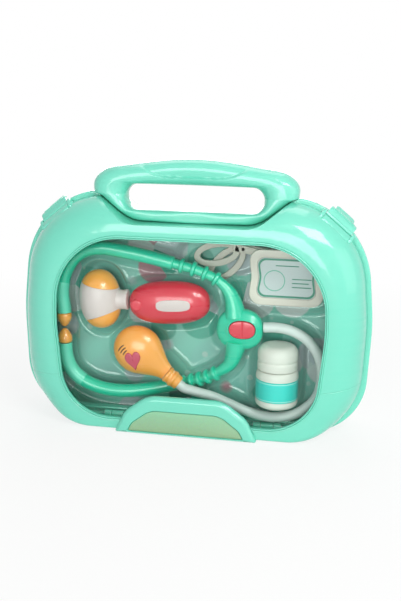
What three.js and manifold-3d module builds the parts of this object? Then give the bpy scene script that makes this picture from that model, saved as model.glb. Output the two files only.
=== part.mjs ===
// Toy doctor's carry case, standing upright on its bottom edge.
// X runs across the case, the front looks towards -Y, Z is up, and the origin is under its middle.
// The domed front cover opens about a hinge along the bottom and carries two snap latches.
// Behind its clear window a set of toy tools lies on the rests of a clear formed tray.
import * as THREE from 'three';
import { mergeVertices } from 'three/addons/utils/BufferGeometryUtils.js';
import Module from 'manifold-3d';

const wasm = await Module();
wasm.setup();

// Sizes shared by the whole case
const gap = 0.3;
const overrun = 6;
const wall = 2.2;
const seamY = -3;
const leastRadius = 0.5;
const caseWidth = 280;
const sideInset = { foot: 3, bulge: -0.42, shoulder: 9.5 };
const caseHeight = { bulge: 92, top: 189 };
const caseRadius = { foot: 48, bulge: 200, shoulder: 70 };
const frontDepth = 35.5;
const backDepth = 35.5;

// How many facets each kind of curve is drawn with
const facets = {
  plain: 1, foot: 7, bulge: 2, shoulder: 8, small: 3, badge: 4, round: 10, tip: 12, thin: 14, barrel: 18,
  button: 20, pear: 22, oval: 24, dome: 6, edge: 3, bezel: 6, lens: 6, bulb: 7, egg: 12, eggSection: 16,
  handleAround: 24, handleSection: 12, handlePerRadian: 60, dentAround: 18, dentDown: 8,
  arm: 18, armSection: 8, hose: 30, hoseSection: 8,
};

// Rear shell: the rim bead, the draft of its side, its back edge and the rests of the card
const bead = { width: 5, proud: 2.2, edgeRadius: 0.8 };
const rear = { draft: 1.5, edgeRadius: 12 };
const rest = { size: 7, frontY: 12.4 };
const restShares = [[0.69, 0.68], [-0.69, 0.68], [0.8, 0.25], [-0.8, 0.25], [0, 0.074], [0, 0.83]];

// Front cover and its window
const cover = { inset: 4, depth: 30, footRadius: 58, flatRim: 2.5 };
const coverPower = { bulgePower: 2.1, footPower: 7, turnPower: 8 };
const frameWidth = { foot: 36.5, bulge: 32.5, shoulder: 26, top: 31.5, floor: 8, bulgeDrop: 4 };
const windowRadius = { foot: 42, bulge: 150, top: 54 };
const bezel = { width: 2, proud: 0.9 };
const pane = { thickness: 1.5, overlap: 3 };

// The scoop in the top of both shells that the handle sits in, measured down from the top
const scoop = { flatHalf: 50, depth: 23, flareHalf: 77.5, flareDepth: 0.8 };
const scoopRadius = { floor: 14, flare: 20 };

// Carry handle, measured up from the top of the case and out from the scoop
const handle = { topRise: 28, cornerRise: 16.4, cornerInset: 3.5, footOverhang: 2, halfThickness: 12.5 };
const handleRadius = { top: 200, corner: 31, foot: 1.5 };
const handlePower = { gripPower: 2.4, seatPower: 3.6 };
const slot = { overhang: 3.5, floorDepth: 13.7, height: 18.9, radius: 9.4 };
const grip = { half: 39, rise: 14.5, halfHeight: 4.4, depth: 1.6 };
const handleScrew = {
  x: 30, y: 4, shankRadius: 1.2, headRadius: 2.8, headHeight: 1.8, reach: 5, clearance: 0.35,
};

// Bottom hinge and the gutter that its knuckles turn in
const hinge = {
  z: 3, barrelRadius: 2.9, boreRadius: 1.4, pinRadius: 1, x: 62, rearHalf: 5, coverLength: 6,
  sideGap: 0.35, relief: 4.2, coverRelief: 3.4, reliefHalf: 100, webFloor: 0.4, pinOverhang: 0.7,
};
const gutter = { floor: 6.6, thickness: 1.5, lip: 0.3 };

// Plate and label at the bottom of the cover
const plate = { footHalf: 57, cheekHalf: 48.5, cheekHeight: 18, topHalf: 30, topHeight: 32 };
const plateRadius = { foot: 1.2, cheek: 18, top: 24 };
const plateEdge = { bevel: 2.2, depth: 1.8, skirt: 10.5, rim: 7 };
const label = { recess: 2.2, thickness: 0.7 };

// Snap latches, in a frame that stands on the shoulder of the rim
const latchAngle = 50;
const latch = {
  halfWidth: 12.5, lug: 2.8, barrelOut: -3, barrelY: -7.8, barrelRadius: 1.7, boreRadius: 1.15,
  pinRadius: 0.8, thickness: 2, rimGap: 0.9, kneeY: -3.6, heelY: 2.4, heelRadius: 2,
  lipOut: 5.2, lipY: 8.6, lipHalf: 9, lipRadius: 3, groove: 0.4,
};
const latchBlock = { frontOut: -8.6, frontY: -14, bevelOut: -3.4, bevelY: -10.4, rootOut: -9 };

// Card and clear tray
const card = { thickness: 0.8, edge: 2, floorEdge: 1.5 };
const tray = { sheet: 1.2, restSize: 8, root: 0.6 };

// Where the tools lie, as shares of the case's half width and of its height
const hubPlaceShares = [0.2714, 0.4418];
const bulbPlaceShares = [-0.3107, 0.3307];
const hammerPlaceShares = [-0.1286, 0.5402];
const bottlePlaceShares = [0.4921, 0.1249];
const badgePlaceShares = [0.52, 0.6624];
const scissorsPlaceShares = [0.2714, 0.7725];

// Routes of the two stethoscope arms and of the hose, as shares of half width, front depth and height
const upperRouteShares = [
  [-0.755, -0.169, 0.4677], [-0.7564, -0.169, 0.4921], [-0.7657, -0.169, 0.5344], [-0.7629, -0.169, 0.5862],
  [-0.74, -0.169, 0.6481], [-0.6843, -0.169, 0.7111], [-0.6071, -0.169, 0.746], [-0.5186, -0.169, 0.7556],
  [-0.4079, -0.169, 0.7466], [-0.275, -0.169, 0.7307], [-0.0807, -0.169, 0.7], [0.0336, -0.169, 0.6788],
  [0.1471, -0.169, 0.6413], [0.2107, -0.169, 0.5905], [0.2357, -0.169, 0.5376],
];
const lowerRouteShares = [
  [-0.755, -0.169, 0.3333], [-0.7543, -0.169, 0.3095], [-0.7471, -0.169, 0.2646], [-0.7229, -0.169, 0.2201],
  [-0.6871, -0.169, 0.1878], [-0.6329, -0.169, 0.1608], [-0.5657, -0.169, 0.1418], [-0.4929, -0.169, 0.1323],
  [-0.3957, -0.163, 0.1307], [-0.2886, -0.096, 0.1376], [-0.2021, -0.017, 0.1481], [-0.1243, 0.028, 0.1619],
  [-0.05, 0.028, 0.1778], [0.0286, -0.034, 0.1968], [0.1, -0.113, 0.2217], [0.1757, -0.169, 0.2566],
  [0.2207, -0.169, 0.2889], [0.2457, -0.169, 0.346],
];
const hoseRouteShares = [
  [0.4057, -0.169, 0.455], [0.4743, -0.169, 0.4577], [0.5464, -0.169, 0.4508], [0.6029, -0.169, 0.4344],
  [0.6486, -0.169, 0.4127], [0.6893, -0.169, 0.3804], [0.72, -0.169, 0.3392], [0.7386, -0.169, 0.2704],
  [0.7293, -0.169, 0.1952], [0.7043, -0.169, 0.154], [0.6614, -0.169, 0.118], [0.6121, -0.169, 0.0899],
  [0.5507, -0.175, 0.072], [0.4664, -0.197, 0.0656], [0.34, -0.237, 0.0825], [0.2136, -0.293, 0.1206],
  [0.1329, -0.321, 0.145], [0.0579, -0.338, 0.1619], [-0.0043, -0.338, 0.1714],
];

// Stethoscope
const headset = { radius: 5.5, y: -6, core: 3.9, root: 7 };
const headsetRib = { radius: 5.9, width: 3, blend: 0.5 };
const headsetRibCount = 4;
const upperRibs = { pitch: 9.6, lead: 62 };
const lowerRibs = { pitch: 7.6, lead: 55 };
const earTip = { radius: 6.1, length: 11.6 };
const earTipShares = [[0.88, 0], [1, 0.14], [0.98, 0.4], [0.74, 0.66], [0.46, 0.88], [0.24, 0.98]];
const hub = { halfWidth: 18.4, halfHeight: 16.4, halfDepth: 7.6, y: -6 };
const hubPower = 2.6;
const hubFaceShare = 0.45;
const hubButton = {
  right: 2.6, rise: 1.3, halfWidth: 10.2, halfHeight: 6.9, proud: 1.2, travel: 1.2, pocket: 4.6,
};
const hoseRadius = 4;
const bulb = { y: -10.5, radius: 19.6, length: 30, mouth: 6.9 };
const bulbFlatShare = 0.62;
const bulbNeckShares = [0.3, 0.55, 0.8, 1];
const nozzle = { y: -12, radius: 6.2, length: 12.5, lip: 6.9, bore: 4.5, socket: 3 };
const nozzleRidgeShares = [0.2, 0.35, 0.55, 0.7];
const nozzleTilt = -37;
const heart = { left: 0.6, drop: 5.1, half: 6.2, halfHeight: 6.8, proud: 0.7, travel: 1, depth: 4 };
const heartTilt = 4;

// Reflex hammer: the places of its boss, neck and head are measured from the middle of its handle
const hammer = { y: -8, halfLength: 32.3, halfHeight: 17.3, halfDepth: 12 };
const hammerPower = 2.5;
const hammerTipShare = 0.12;
const hammerTilt = 3.5;
const hammerPatch = { halfLength: 13.5, halfHeight: 4.6, offset: 4.8, thickness: 1.2 };
const hammerPatchPower = 3;
const hammerBoss = { left: 25, drop: 1.5, radius: 4.6, length: 4.5, forward: 3.2 };
const neck = { left: 36.6, rise: 0.3, radius: 8.2, halfLength: 3 };
const head = { left: 56.6, drop: 0.1, radius: 16.6, halfLength: 23.8, bandHalf: 11.5, capInset: 0.7 };
const headPower = 2.2;
const headTilt = 6;
const headBandShares = [-1, -0.5, 0, 0.5, 1];
const headCapShares = [0, 0.25, 0.5, 0.75, 0.92];

// Medicine bottle, with heights measured from its foot
const bottle = { y: -8, radius: 16.8, shoulder: 26.9, top: 30, neck: 12.4 };
const bottleCap = { radius: 16, floor: 30.6, top: 50.2, wall: 2.4, ridgeDepth: 0.5 };
const bottleCapRidgeCount = 20;
const bottleLabel = { floor: 6.8, top: 23, recess: 0.7 };
const bottleEdge = { floor: 2.4, shoulder: 1.6, cap: 1.6 };

// Badge and toy scissors: the finger loops are measured from the rivet
const badge = { halfWidth: 30, halfHeight: 22, waist: 2.6, cornerRadius: 9, thickness: 2.5 };
const badgeCard = { rim: 6, thickness: 0.5 };
const scissors = { frontY: 0, thickness: 2.1, rivetRadius: 1.9, bore: 2.3, band: 4 };
const scissorLoops = { upper: { left: 20.5, drop: 4.5 }, lower: { left: 13, drop: 12.6 } };
const scissorLoop = { halfLength: 18, halfHeight: 9.6 };
const scissorBlade = { length: 42, width: 6.4, tip: 1.6 };
const scissorTilt = { upper: -10, lower: -4 };

// Where along the arms and the hose the tray's rests stand, and where under the badge and the scissors
const upperRestShares = [0.12, 0.36, 0.6];
const lowerRestShares = [0.1, 0.34];
const hoseRestShares = [0.12, 0.3, 0.5];
const badgeRestShares = [[0.5, -0.5], [-0.5, -0.7]];
const bladeRestShare = 0.7;

// Colours
const mint = 0x6ee8cb;
const deepMint = 0x41d3b1;
const orange = 0xf9a03f;
const red = 0xe7344f;
const white = 0xeeebe6;
const grey = 0xa7a69e;
const clear = 0xdff3ef;
const steel = { metalness: 0.8 };

const yAxis = new THREE.Vector3(0, 1, 0);
const radians = THREE.MathUtils.degToRad;

// An outline is a list of corners in the XZ plane, anticlockwise from the front,
// each with a place, a fillet radius and a number of facets.
function corner(x, z, radius, steps) {
  return { x, z, radius, steps };
}

function mirrored(rightSide) {
  const leftSide = rightSide.map((c) => corner(-c.x, c.z, c.radius, c.steps)).reverse();
  return [...rightSide, ...leftSide.filter((c) => c.x !== 0)];
}

function direction(from, to) {
  const length = Math.hypot(to.x - from.x, to.z - from.z);
  return { x: (to.x - from.x) / length, z: (to.z - from.z) / length };
}

function turnAt(corners, index) {
  const before = corners[(index + corners.length - 1) % corners.length];
  const here = corners[index];
  const after = corners[(index + 1) % corners.length];
  const arrive = direction(before, here);
  const leave = direction(here, after);
  const turn = Math.atan2(arrive.x * leave.z - arrive.z * leave.x, arrive.x * leave.x + arrive.z * leave.z);
  return { here, arrive, leave, turn };
}

// Moves every edge of an outline outwards by a distance, and its fillets with it.
function offsetCorners(corners, distance) {
  return corners.map((c, index) => {
    const { arrive, leave, turn } = turnAt(corners, index);
    const share = distance / (1 + arrive.x * leave.x + arrive.z * leave.z);
    const x = c.x + share * (arrive.z + leave.z);
    const z = c.z - share * (arrive.x + leave.x);
    const radius = Math.max(c.radius + Math.sign(turn) * distance, leastRadius);
    return corner(x, z, radius, c.steps);
  });
}

// How far a fillet would reach along the edges beside it.
function reachAt(corners, index) {
  return corners[index].radius * Math.tan(Math.abs(turnAt(corners, index).turn) / 2);
}

// The centre of a fillet, whose radius is limited where two fillets would share more than their edge.
function arcCentre(corners, index) {
  const { here, arrive, leave, turn } = turnAt(corners, index);
  const reach = reachAt(corners, index);
  const limits = [corners.length - 1, 1].map((step) => {
    const other = (index + step) % corners.length;
    const edge = Math.hypot(corners[other].x - here.x, corners[other].z - here.z);
    return edge / (reach + reachAt(corners, other));
  });
  const fit = Math.min(1, ...limits);
  const start = { x: here.x - arrive.x * reach * fit, z: here.z - arrive.z * reach * fit };
  const side = Math.sign(turn) * here.radius * fit;
  return { x: start.x - arrive.z * side, z: start.z + arrive.x * side, start, leave, turn, side };
}

// The points of an outline with its fillets drawn as arcs.
function roundedLoop(corners) {
  return corners.flatMap((c, index) => {
    const arc = arcCentre(corners, index);
    const points = [];
    for (let step = 0; step <= c.steps; step += 1) {
      const angle = (arc.turn * step) / c.steps;
      const dx = arc.start.x - arc.x;
      const dz = arc.start.z - arc.z;
      points.push({
        x: arc.x + dx * Math.cos(angle) - dz * Math.sin(angle),
        z: arc.z + dx * Math.sin(angle) + dz * Math.cos(angle),
      });
    }
    return points;
  });
}

function ellipseLoop(halfWidth, halfHeight, count, power = 2) {
  return Array.from({ length: count }, (unused, step) => {
    const angle = (2 * Math.PI * step) / count;
    const c = Math.cos(angle);
    const s = Math.sin(angle);
    return {
      x: halfWidth * Math.sign(c) * Math.abs(c) ** (2 / power),
      z: halfHeight * Math.sign(s) * Math.abs(s) ** (2 / power),
    };
  });
}

function movedLoop(loop, x, z, degrees = 0) {
  const c = Math.cos(radians(degrees));
  const s = Math.sin(radians(degrees));
  return loop.map((p) => ({ x: x + p.x * c - p.z * s, z: z + p.x * s + p.z * c }));
}

function ringAt(loop, y) {
  return loop.map((p) => new THREE.Vector3(p.x, y, p.z));
}

// Rings of equal length joined one to the next, and closed with a cap at each end or on themselves.
function loftGeometry(rings, endless = false) {
  const count = rings[0].length;
  const positions = rings.flat().flatMap((p) => [p.x, p.y, p.z]);
  const index = [];
  const spans = endless ? rings.length : rings.length - 1;
  for (let r = 0; r < spans; r += 1) {
    const here = r * count;
    const next = ((r + 1) % rings.length) * count;
    for (let i = 0; i < count; i += 1) {
      const j = (i + 1) % count;
      index.push(here + i, here + j, next + j, here + i, next + j, next + i);
    }
  }
  if (!endless) {
    [0, rings.length - 1].forEach((r) => {
      const middle = new THREE.Vector3();
      rings[r].forEach((p) => middle.addScaledVector(p, 1 / count));
      positions.push(middle.x, middle.y, middle.z);
      const centre = positions.length / 3 - 1;
      for (let i = 0; i < count; i += 1) {
        const a = r * count + i;
        const b = r * count + ((i + 1) % count);
        index.push(...(r === 0 ? [centre, b, a] : [centre, a, b]));
      }
    });
  }
  const geometry = new THREE.BufferGeometry();
  geometry.setAttribute('position', new THREE.Float32BufferAttribute(positions, 3));
  geometry.setIndex(index);
  return geometry;
}

function signedVolume(positions, index) {
  let total = 0;
  const a = new THREE.Vector3();
  const b = new THREE.Vector3();
  const c = new THREE.Vector3();
  for (let i = 0; i < index.length; i += 3) {
    a.fromArray(positions, 3 * index[i]);
    b.fromArray(positions, 3 * index[i + 1]);
    c.fromArray(positions, 3 * index[i + 2]);
    total += a.dot(b.cross(c)) / 6;
  }
  return total;
}

function toSolid(geometry) {
  const bare = new THREE.BufferGeometry();
  bare.setAttribute('position', geometry.getAttribute('position').clone());
  if (geometry.index) bare.setIndex(geometry.index.clone());
  const merged = mergeVertices(bare);
  const positions = new Float32Array(merged.getAttribute('position').array);
  const triangles = [];
  for (let i = 0; i < merged.index.count; i += 3) {
    const [a, b, c] = merged.index.array.slice(i, i + 3);
    if (a !== b && b !== c && c !== a) triangles.push(a, b, c);
  }
  if (signedVolume(positions, triangles) < 0) triangles.reverse();
  const mesh = new wasm.Mesh({
    numProp: 3, vertProperties: positions, triVerts: new Uint32Array(triangles),
  });
  return new wasm.Manifold(mesh);
}

function toGeometry(solid) {
  const mesh = solid.getMesh();
  const geometry = new THREE.BufferGeometry();
  geometry.setAttribute('position', new THREE.Float32BufferAttribute(mesh.vertProperties, 3));
  geometry.setIndex(Array.from(mesh.triVerts));
  geometry.computeVertexNormals();
  return geometry;
}

function loft(rings, endless = false) {
  return toSolid(loftGeometry(rings, endless));
}

// A flat shape in the XZ plane carried through a stretch of Y.
function prism(loop, yFront, yBack, holes = []) {
  const shape = new THREE.Shape(loop.map((p) => new THREE.Vector2(p.x, p.z)));
  shape.holes = holes.map((hole) => new THREE.Path(hole.map((p) => new THREE.Vector2(p.x, p.z))));
  const geometry = new THREE.ExtrudeGeometry(shape, { depth: yBack - yFront, bevelEnabled: false });
  geometry.rotateX(Math.PI / 2);
  geometry.translate(0, yBack, 0);
  return toSolid(geometry);
}

function box(low, high) {
  const size = new THREE.Vector3().subVectors(high, low);
  const middle = new THREE.Vector3().addVectors(low, high).multiplyScalar(0.5);
  return toSolid(new THREE.BoxGeometry(size.x, size.y, size.z).translate(middle.x, middle.y, middle.z));
}

// A round bar between two points.
function rod(from, to, radius, sides = facets.round) {
  const axis = new THREE.Vector3().subVectors(to, from);
  const geometry = new THREE.CylinderGeometry(radius, radius, axis.length(), sides);
  geometry.applyQuaternion(new THREE.Quaternion().setFromUnitVectors(yAxis, axis.clone().normalize()));
  geometry.translate((from.x + to.x) / 2, (from.y + to.y) / 2, (from.z + to.z) / 2);
  return toSolid(geometry);
}

// A turned shape: its profile is a list of radius and height, its axis runs from a point along a direction.
function turned(profile, at, axis, segments, flatShare = 1) {
  const points = profile.map((p) => new THREE.Vector2(p[0], p[1]));
  const geometry = new THREE.LatheGeometry(points, segments);
  geometry.applyQuaternion(new THREE.Quaternion().setFromUnitVectors(yAxis, axis.clone().normalize()));
  geometry.scale(1, flatShare, 1);
  geometry.translate(at.x, at.y, at.z);
  return toSolid(geometry);
}

// A round tube along a curve whose radius follows a rule of the distance travelled.
function tube(points, steps, sides, radiusAt) {
  const curve = new THREE.CatmullRomCurve3(points);
  const length = curve.getLength();
  const rings = steps(length).map((distance) => {
    const share = THREE.MathUtils.clamp(distance / length, 0, 1);
    const centre = curve.getPointAt(share);
    const tangent = curve.getTangentAt(share);
    const across = new THREE.Vector3().crossVectors(tangent, yAxis).normalize();
    const up = new THREE.Vector3().crossVectors(across, tangent);
    const radius = radiusAt(distance, length);
    return Array.from({ length: sides }, (unused, side) => {
      const angle = (2 * Math.PI * (side + 0.5)) / sides;
      return centre.clone()
        .addScaledVector(across, radius * Math.cos(angle))
        .addScaledVector(up, radius * Math.sin(angle));
    });
  });
  return loft(rings);
}

const object = new THREE.Group();

function addPiece(name, solid, colour, finish = {}) {
  const material = new THREE.MeshStandardMaterial({ color: colour, roughness: 0.35, ...finish });
  const mesh = new THREE.Mesh(toGeometry(solid), material);
  mesh.name = name;
  object.add(mesh);
}

// Outlines of the case, the window and the scoop
const caseHalf = caseWidth / 2;
const outline = mirrored([
  corner(caseHalf - sideInset.foot, 0, caseRadius.foot, facets.foot),
  corner(caseHalf - sideInset.bulge, caseHeight.bulge, caseRadius.bulge, facets.bulge),
  corner(caseHalf - sideInset.shoulder, caseHeight.top, caseRadius.shoulder, facets.shoulder),
]);

function caseLoop(inset, floor, footRadius = caseRadius.foot) {
  const corners = offsetCorners(outline, -inset);
  [corners[0], corners[corners.length - 1]].forEach((foot) => {
    foot.z = floor;
    foot.radius += footRadius - caseRadius.foot;
  });
  return roundedLoop(corners);
}

const windowFoot = caseHalf - sideInset.foot - frameWidth.foot;
const windowBulge = caseHalf - frameWidth.bulge;
const windowShoulder = caseHalf - sideInset.shoulder - frameWidth.shoulder;
const windowOutline = mirrored([
  corner(windowFoot, frameWidth.floor, windowRadius.foot, facets.foot),
  corner(windowBulge, caseHeight.bulge - frameWidth.bulgeDrop, windowRadius.bulge, facets.bulge),
  corner(windowShoulder, caseHeight.top - frameWidth.top, windowRadius.top, facets.shoulder),
]);

function windowLoop(outwards) {
  return roundedLoop(offsetCorners(windowOutline, outwards));
}

const scoopFloor = caseHeight.top - scoop.depth;
const flareHeight = caseHeight.top - scoop.flareDepth;
const scoopOutline = mirrored([
  corner(scoop.flatHalf, scoopFloor, scoopRadius.floor, facets.small),
  corner(scoop.flareHalf, flareHeight, scoopRadius.flare, facets.small),
  corner(caseHalf, flareHeight + bead.proud, leastRadius, facets.plain),
  corner(caseHalf, caseHeight.top + handle.topRise, leastRadius, facets.plain),
]);

function scoopSolid(outwards) {
  const loop = roundedLoop(offsetCorners(scoopOutline, outwards));
  return prism(loop, -frontDepth - overrun, backDepth + overrun);
}

// A place given as shares of the case's half width and of its height.
function placeAt([acrossShare, upShare]) {
  return { x: acrossShare * caseHalf, z: upShare * caseHeight.top };
}

const coverBackY = seamY - gap;
const paneFrontY = -cover.depth + wall + gap;
const seatY = bead.width + seamY;

// Hinge knuckles, alike on the two sides
function hingeBar(from, to, radius) {
  return rod(new THREE.Vector3(from, seamY, hinge.z), new THREE.Vector3(to, seamY, hinge.z), radius);
}

function hingeSpans(side) {
  const inner = hinge.rearHalf + hinge.sideGap;
  const outer = inner + hinge.coverLength;
  const middle = side * hinge.x;
  return {
    rear: [middle - hinge.rearHalf, middle + hinge.rearHalf],
    covers: [[middle - outer, middle - inner], [middle + inner, middle + outer]],
    pin: [middle - outer - hinge.pinOverhang, middle + outer + hinge.pinOverhang],
  };
}

function rearShell() {
  const outerRings = [
    ringAt(caseLoop(bead.edgeRadius, 0), seamY),
    ringAt(caseLoop(0, 0), seamY + bead.edgeRadius),
    ringAt(caseLoop(0, 0), seatY - bead.edgeRadius),
    ringAt(caseLoop(bead.proud, 0), seatY),
  ];
  const innerRings = [ringAt(caseLoop(bead.proud + wall, wall), seamY - overrun)];
  for (let step = 0; step <= facets.edge; step += 1) {
    const angle = (Math.PI / 2) * (step / facets.edge);
    const sink = 1 - Math.cos(angle);
    const outerY = backDepth - rear.edgeRadius * (1 - Math.sin(angle));
    const innerRadius = rear.edgeRadius - wall;
    const innerY = backDepth - wall - innerRadius * (1 - Math.sin(angle));
    const inset = bead.proud + rear.draft;
    outerRings.push(ringAt(caseLoop(inset + rear.edgeRadius * sink, bead.proud * sink), outerY));
    innerRings.push(ringAt(caseLoop(inset + wall + innerRadius * sink, wall + bead.proud * sink), innerY));
  }
  const scooped = loft(outerRings).subtract(scoopSolid(0));
  let shell = scooped.subtract(loft(innerRings).subtract(scoopSolid(wall)));
  restShares.forEach((shares) => {
    const place = placeAt(shares);
    const half = rest.size / 2;
    shell = shell.add(box(
      new THREE.Vector3(place.x - half, rest.frontY, place.z - half),
      new THREE.Vector3(place.x + half, backDepth - wall / 2, place.z + half),
    ));
  });
  shell = shell.add(box(
    new THREE.Vector3(-hinge.reliefHalf - wall, seamY + gutter.lip, wall / 2),
    new THREE.Vector3(hinge.reliefHalf + wall, seamY + hinge.relief + wall, gutter.floor + gutter.thickness),
  ));
  shell = shell.subtract(box(
    new THREE.Vector3(-hinge.reliefHalf, seamY - overrun, -overrun),
    new THREE.Vector3(hinge.reliefHalf, seamY + hinge.relief, gutter.floor),
  ));
  [-1, 1].forEach((side) => {
    const [from, to] = hingeSpans(side).rear;
    const web = box(
      new THREE.Vector3(from, seamY + hinge.boreRadius, hinge.webFloor),
      new THREE.Vector3(to, seamY + hinge.relief + wall, wall),
    );
    shell = shell.add(hingeBar(from, to, hinge.barrelRadius)).add(web);
    shell = shell.subtract(hingeBar(from - overrun, to + overrun, hinge.boreRadius));
    shell = shell.subtract(handleScrewBar(side, handleScrew.shankRadius + handleScrew.clearance));
  });
  return shell;
}

// Cover: rings that swell from the seam to the flat rim of the window
function coverRings(grow, thickness, frontY) {
  const floor = Math.max(thickness - grow, -grow);
  const seamLoop = caseLoop(cover.inset - grow + thickness, floor, cover.footRadius);
  const rimLoop = windowLoop(cover.flatRim + grow - thickness);
  const depth = seamY - gap - frontY;
  const rings = [];
  for (let step = 0; step <= facets.dome; step += 1) {
    const angle = (Math.PI / 2) * (step / facets.dome);
    rings.push(rimLoop.map((p, index) => {
      const dx = seamLoop[index].x - p.x;
      const dz = seamLoop[index].z - p.z;
      const next = seamLoop[(index + 1) % seamLoop.length];
      const last = seamLoop[(index + seamLoop.length - 1) % seamLoop.length];
      const downShare = Math.max(0, direction(last, next).x) ** coverPower.turnPower;
      const power = THREE.MathUtils.lerp(coverPower.bulgePower, coverPower.footPower, downShare);
      const out = Math.max(Math.cos(angle), 0) ** (2 / power);
      const forward = Math.sin(angle) ** (2 / power);
      return new THREE.Vector3(p.x + dx * out, coverBackY - depth * forward, p.z + dz * out);
    }));
  }
  return rings;
}

function coverHull(grow, thickness, frontY) {
  const rings = coverRings(grow, thickness, frontY);
  if (thickness > 0 || grow > 0) rings.unshift(ringAt(rings[0], seamY + overrun));
  return loft(rings);
}

// Frame of one latch: out of the rim, along Y, and along the slanted shoulder
function latchFrame(side) {
  const arc = arcCentre(outline, 2);
  const angle = radians(latchAngle);
  const out = new THREE.Vector3(side * Math.cos(angle), 0, Math.sin(angle));
  const along = new THREE.Vector3().crossVectors(out, yAxis);
  const origin = new THREE.Vector3(side * arc.x, 0, arc.z).addScaledVector(out, arc.side);
  return new THREE.Matrix4().makeBasis(out, yAxis, along).setPosition(origin);
}

function latchSlab(side, profile, from, to) {
  const shape = new THREE.Shape(profile.map((p) => new THREE.Vector2(p[0], p[1])));
  const geometry = new THREE.ExtrudeGeometry(shape, { depth: to - from, bevelEnabled: false });
  geometry.translate(0, 0, from).applyMatrix4(latchFrame(side));
  return toSolid(geometry);
}

function latchBar(side, from, to, radius) {
  const ends = [from, to].map((along) => (
    new THREE.Vector3(latch.barrelOut, latch.barrelY, along).applyMatrix4(latchFrame(side))
  ));
  return rod(ends[0], ends[1], radius);
}

const lugEnd = latch.halfWidth + gap + latch.lug;

function latchBlockSolid(side) {
  const profile = [
    [latchBlock.rootOut, latchBlock.frontY], [latchBlock.frontOut + wall, latchBlock.frontY],
    [latchBlock.bevelOut, latchBlock.bevelY], [latch.barrelOut, latch.barrelY],
    [latch.barrelOut, coverBackY - gap], [latchBlock.rootOut, coverBackY - gap],
  ];
  return latchSlab(side, profile, -lugEnd, lugEnd);
}

function frontCover() {
  let solid = coverHull(0, 0, -cover.depth);
  [-1, 1].forEach((side) => {
    solid = solid.add(latchBlockSolid(side));
    [-1, 1].forEach((end) => {
      solid = solid.add(latchBar(side, end * (latch.halfWidth + gap), end * lugEnd, latch.barrelRadius));
    });
  });
  solid = solid.subtract(scoopSolid(0));
  const hollow = coverHull(0, wall, -cover.depth + wall).subtract(scoopSolid(wall));
  solid = solid.subtract(hollow);
  solid = solid.subtract(prism(windowLoop(0), -cover.depth - overrun, -cover.depth + overrun));
  const paneBackY = paneFrontY + pane.thickness;
  solid = solid.subtract(prism(windowLoop(pane.overlap + gap), paneFrontY - gap, paneBackY + overrun));
  [-1, 1].forEach((side) => {
    const knuckle = latch.halfWidth + gap;
    solid = solid.subtract(latchBar(side, -knuckle, knuckle, latch.barrelRadius + latch.groove));
    solid = solid.subtract(latchSlab(side, [
      [latch.barrelOut, latch.barrelY - latch.barrelRadius - latch.groove],
      [latch.barrelOut + overrun, latch.barrelY - latch.barrelRadius - latch.groove],
      [latch.barrelOut + overrun, coverBackY], [latch.barrelOut - latch.groove, coverBackY],
    ], -knuckle, knuckle));
    solid = solid.subtract(latchBar(side, -lugEnd - overrun, lugEnd + overrun, latch.boreRadius));
    const spans = hingeSpans(side);
    solid = solid.subtract(box(
      new THREE.Vector3(spans.rear[0] - hinge.sideGap, seamY - hinge.coverRelief, -overrun),
      new THREE.Vector3(spans.rear[1] + hinge.sideGap, seamY + overrun, 2 * hinge.z + 2 * hinge.sideGap),
    ));
    spans.covers.forEach(([from, to]) => {
      const web = box(
        new THREE.Vector3(from, seamY - hinge.relief - wall, hinge.webFloor),
        new THREE.Vector3(to, seamY - hinge.boreRadius, wall + gap),
      );
      solid = solid.add(hingeBar(from, to, hinge.barrelRadius)).add(web);
    });
    solid = solid.subtract(hingeBar(spans.pin[0] - gap, spans.pin[1] + gap, hinge.boreRadius));
  });
  return solid;
}

function windowBezel() {
  const outer = windowLoop(-gap);
  const inner = windowLoop(-gap - bezel.width);
  const frontY = -cover.depth - bezel.proud;
  const backY = -cover.depth + wall;
  const rings = Array.from({ length: facets.bezel + 1 }, (unused, step) => {
    const angle = Math.PI * (step / facets.bezel);
    const share = (1 + Math.cos(angle)) / 2;
    const loop = outer.map((p, index) => ({
      x: THREE.MathUtils.lerp(inner[index].x, p.x, share),
      z: THREE.MathUtils.lerp(inner[index].z, p.z, share),
    }));
    return ringAt(loop, frontY + bezel.width / 2 - (bezel.width / 2) * Math.sin(angle));
  });
  rings.push(ringAt(inner, backY), ringAt(outer, backY));
  return loft(rings, true);
}

function windowPane() {
  return prism(windowLoop(pane.overlap), paneFrontY, paneFrontY + pane.thickness);
}

const plateOutline = mirrored([
  corner(plate.footHalf, 0, plateRadius.foot, facets.plain),
  corner(plate.cheekHalf, plate.cheekHeight, plateRadius.cheek, facets.small),
  corner(plate.topHalf, plate.topHeight, plateRadius.top, facets.small),
]);

function labelLoop(inwards) {
  return roundedLoop(offsetCorners(plateOutline, -plateEdge.rim - inwards)).map((p) => (
    { x: p.x, z: p.z - plateEdge.rim + plateEdge.bevel }
  ));
}

function basePlate() {
  const loops = [0, 0, plateEdge.bevel / 3, plateEdge.bevel].map((inset) => (
    roundedLoop(offsetCorners(plateOutline, -inset))
  ));
  const depths = [
    -frontDepth + plateEdge.skirt, -frontDepth + plateEdge.depth,
    -frontDepth + plateEdge.depth / 4, -frontDepth,
  ];
  const body = loft(loops.map((loop, index) => ringAt(loop, depths[index])));
  const clearOfBezel = prism(windowLoop(cover.flatRim), -cover.depth - bezel.proud - gap, 0);
  return body
    .subtract(coverHull(gap, 0, -cover.depth - gap))
    .subtract(clearOfBezel)
    .subtract(prism(labelLoop(0), -frontDepth - overrun, -frontDepth + label.recess));
}

function nameLabel() {
  const backY = -frontDepth + label.recess - gap;
  return prism(labelLoop(gap), backY - label.thickness, backY);
}

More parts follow.
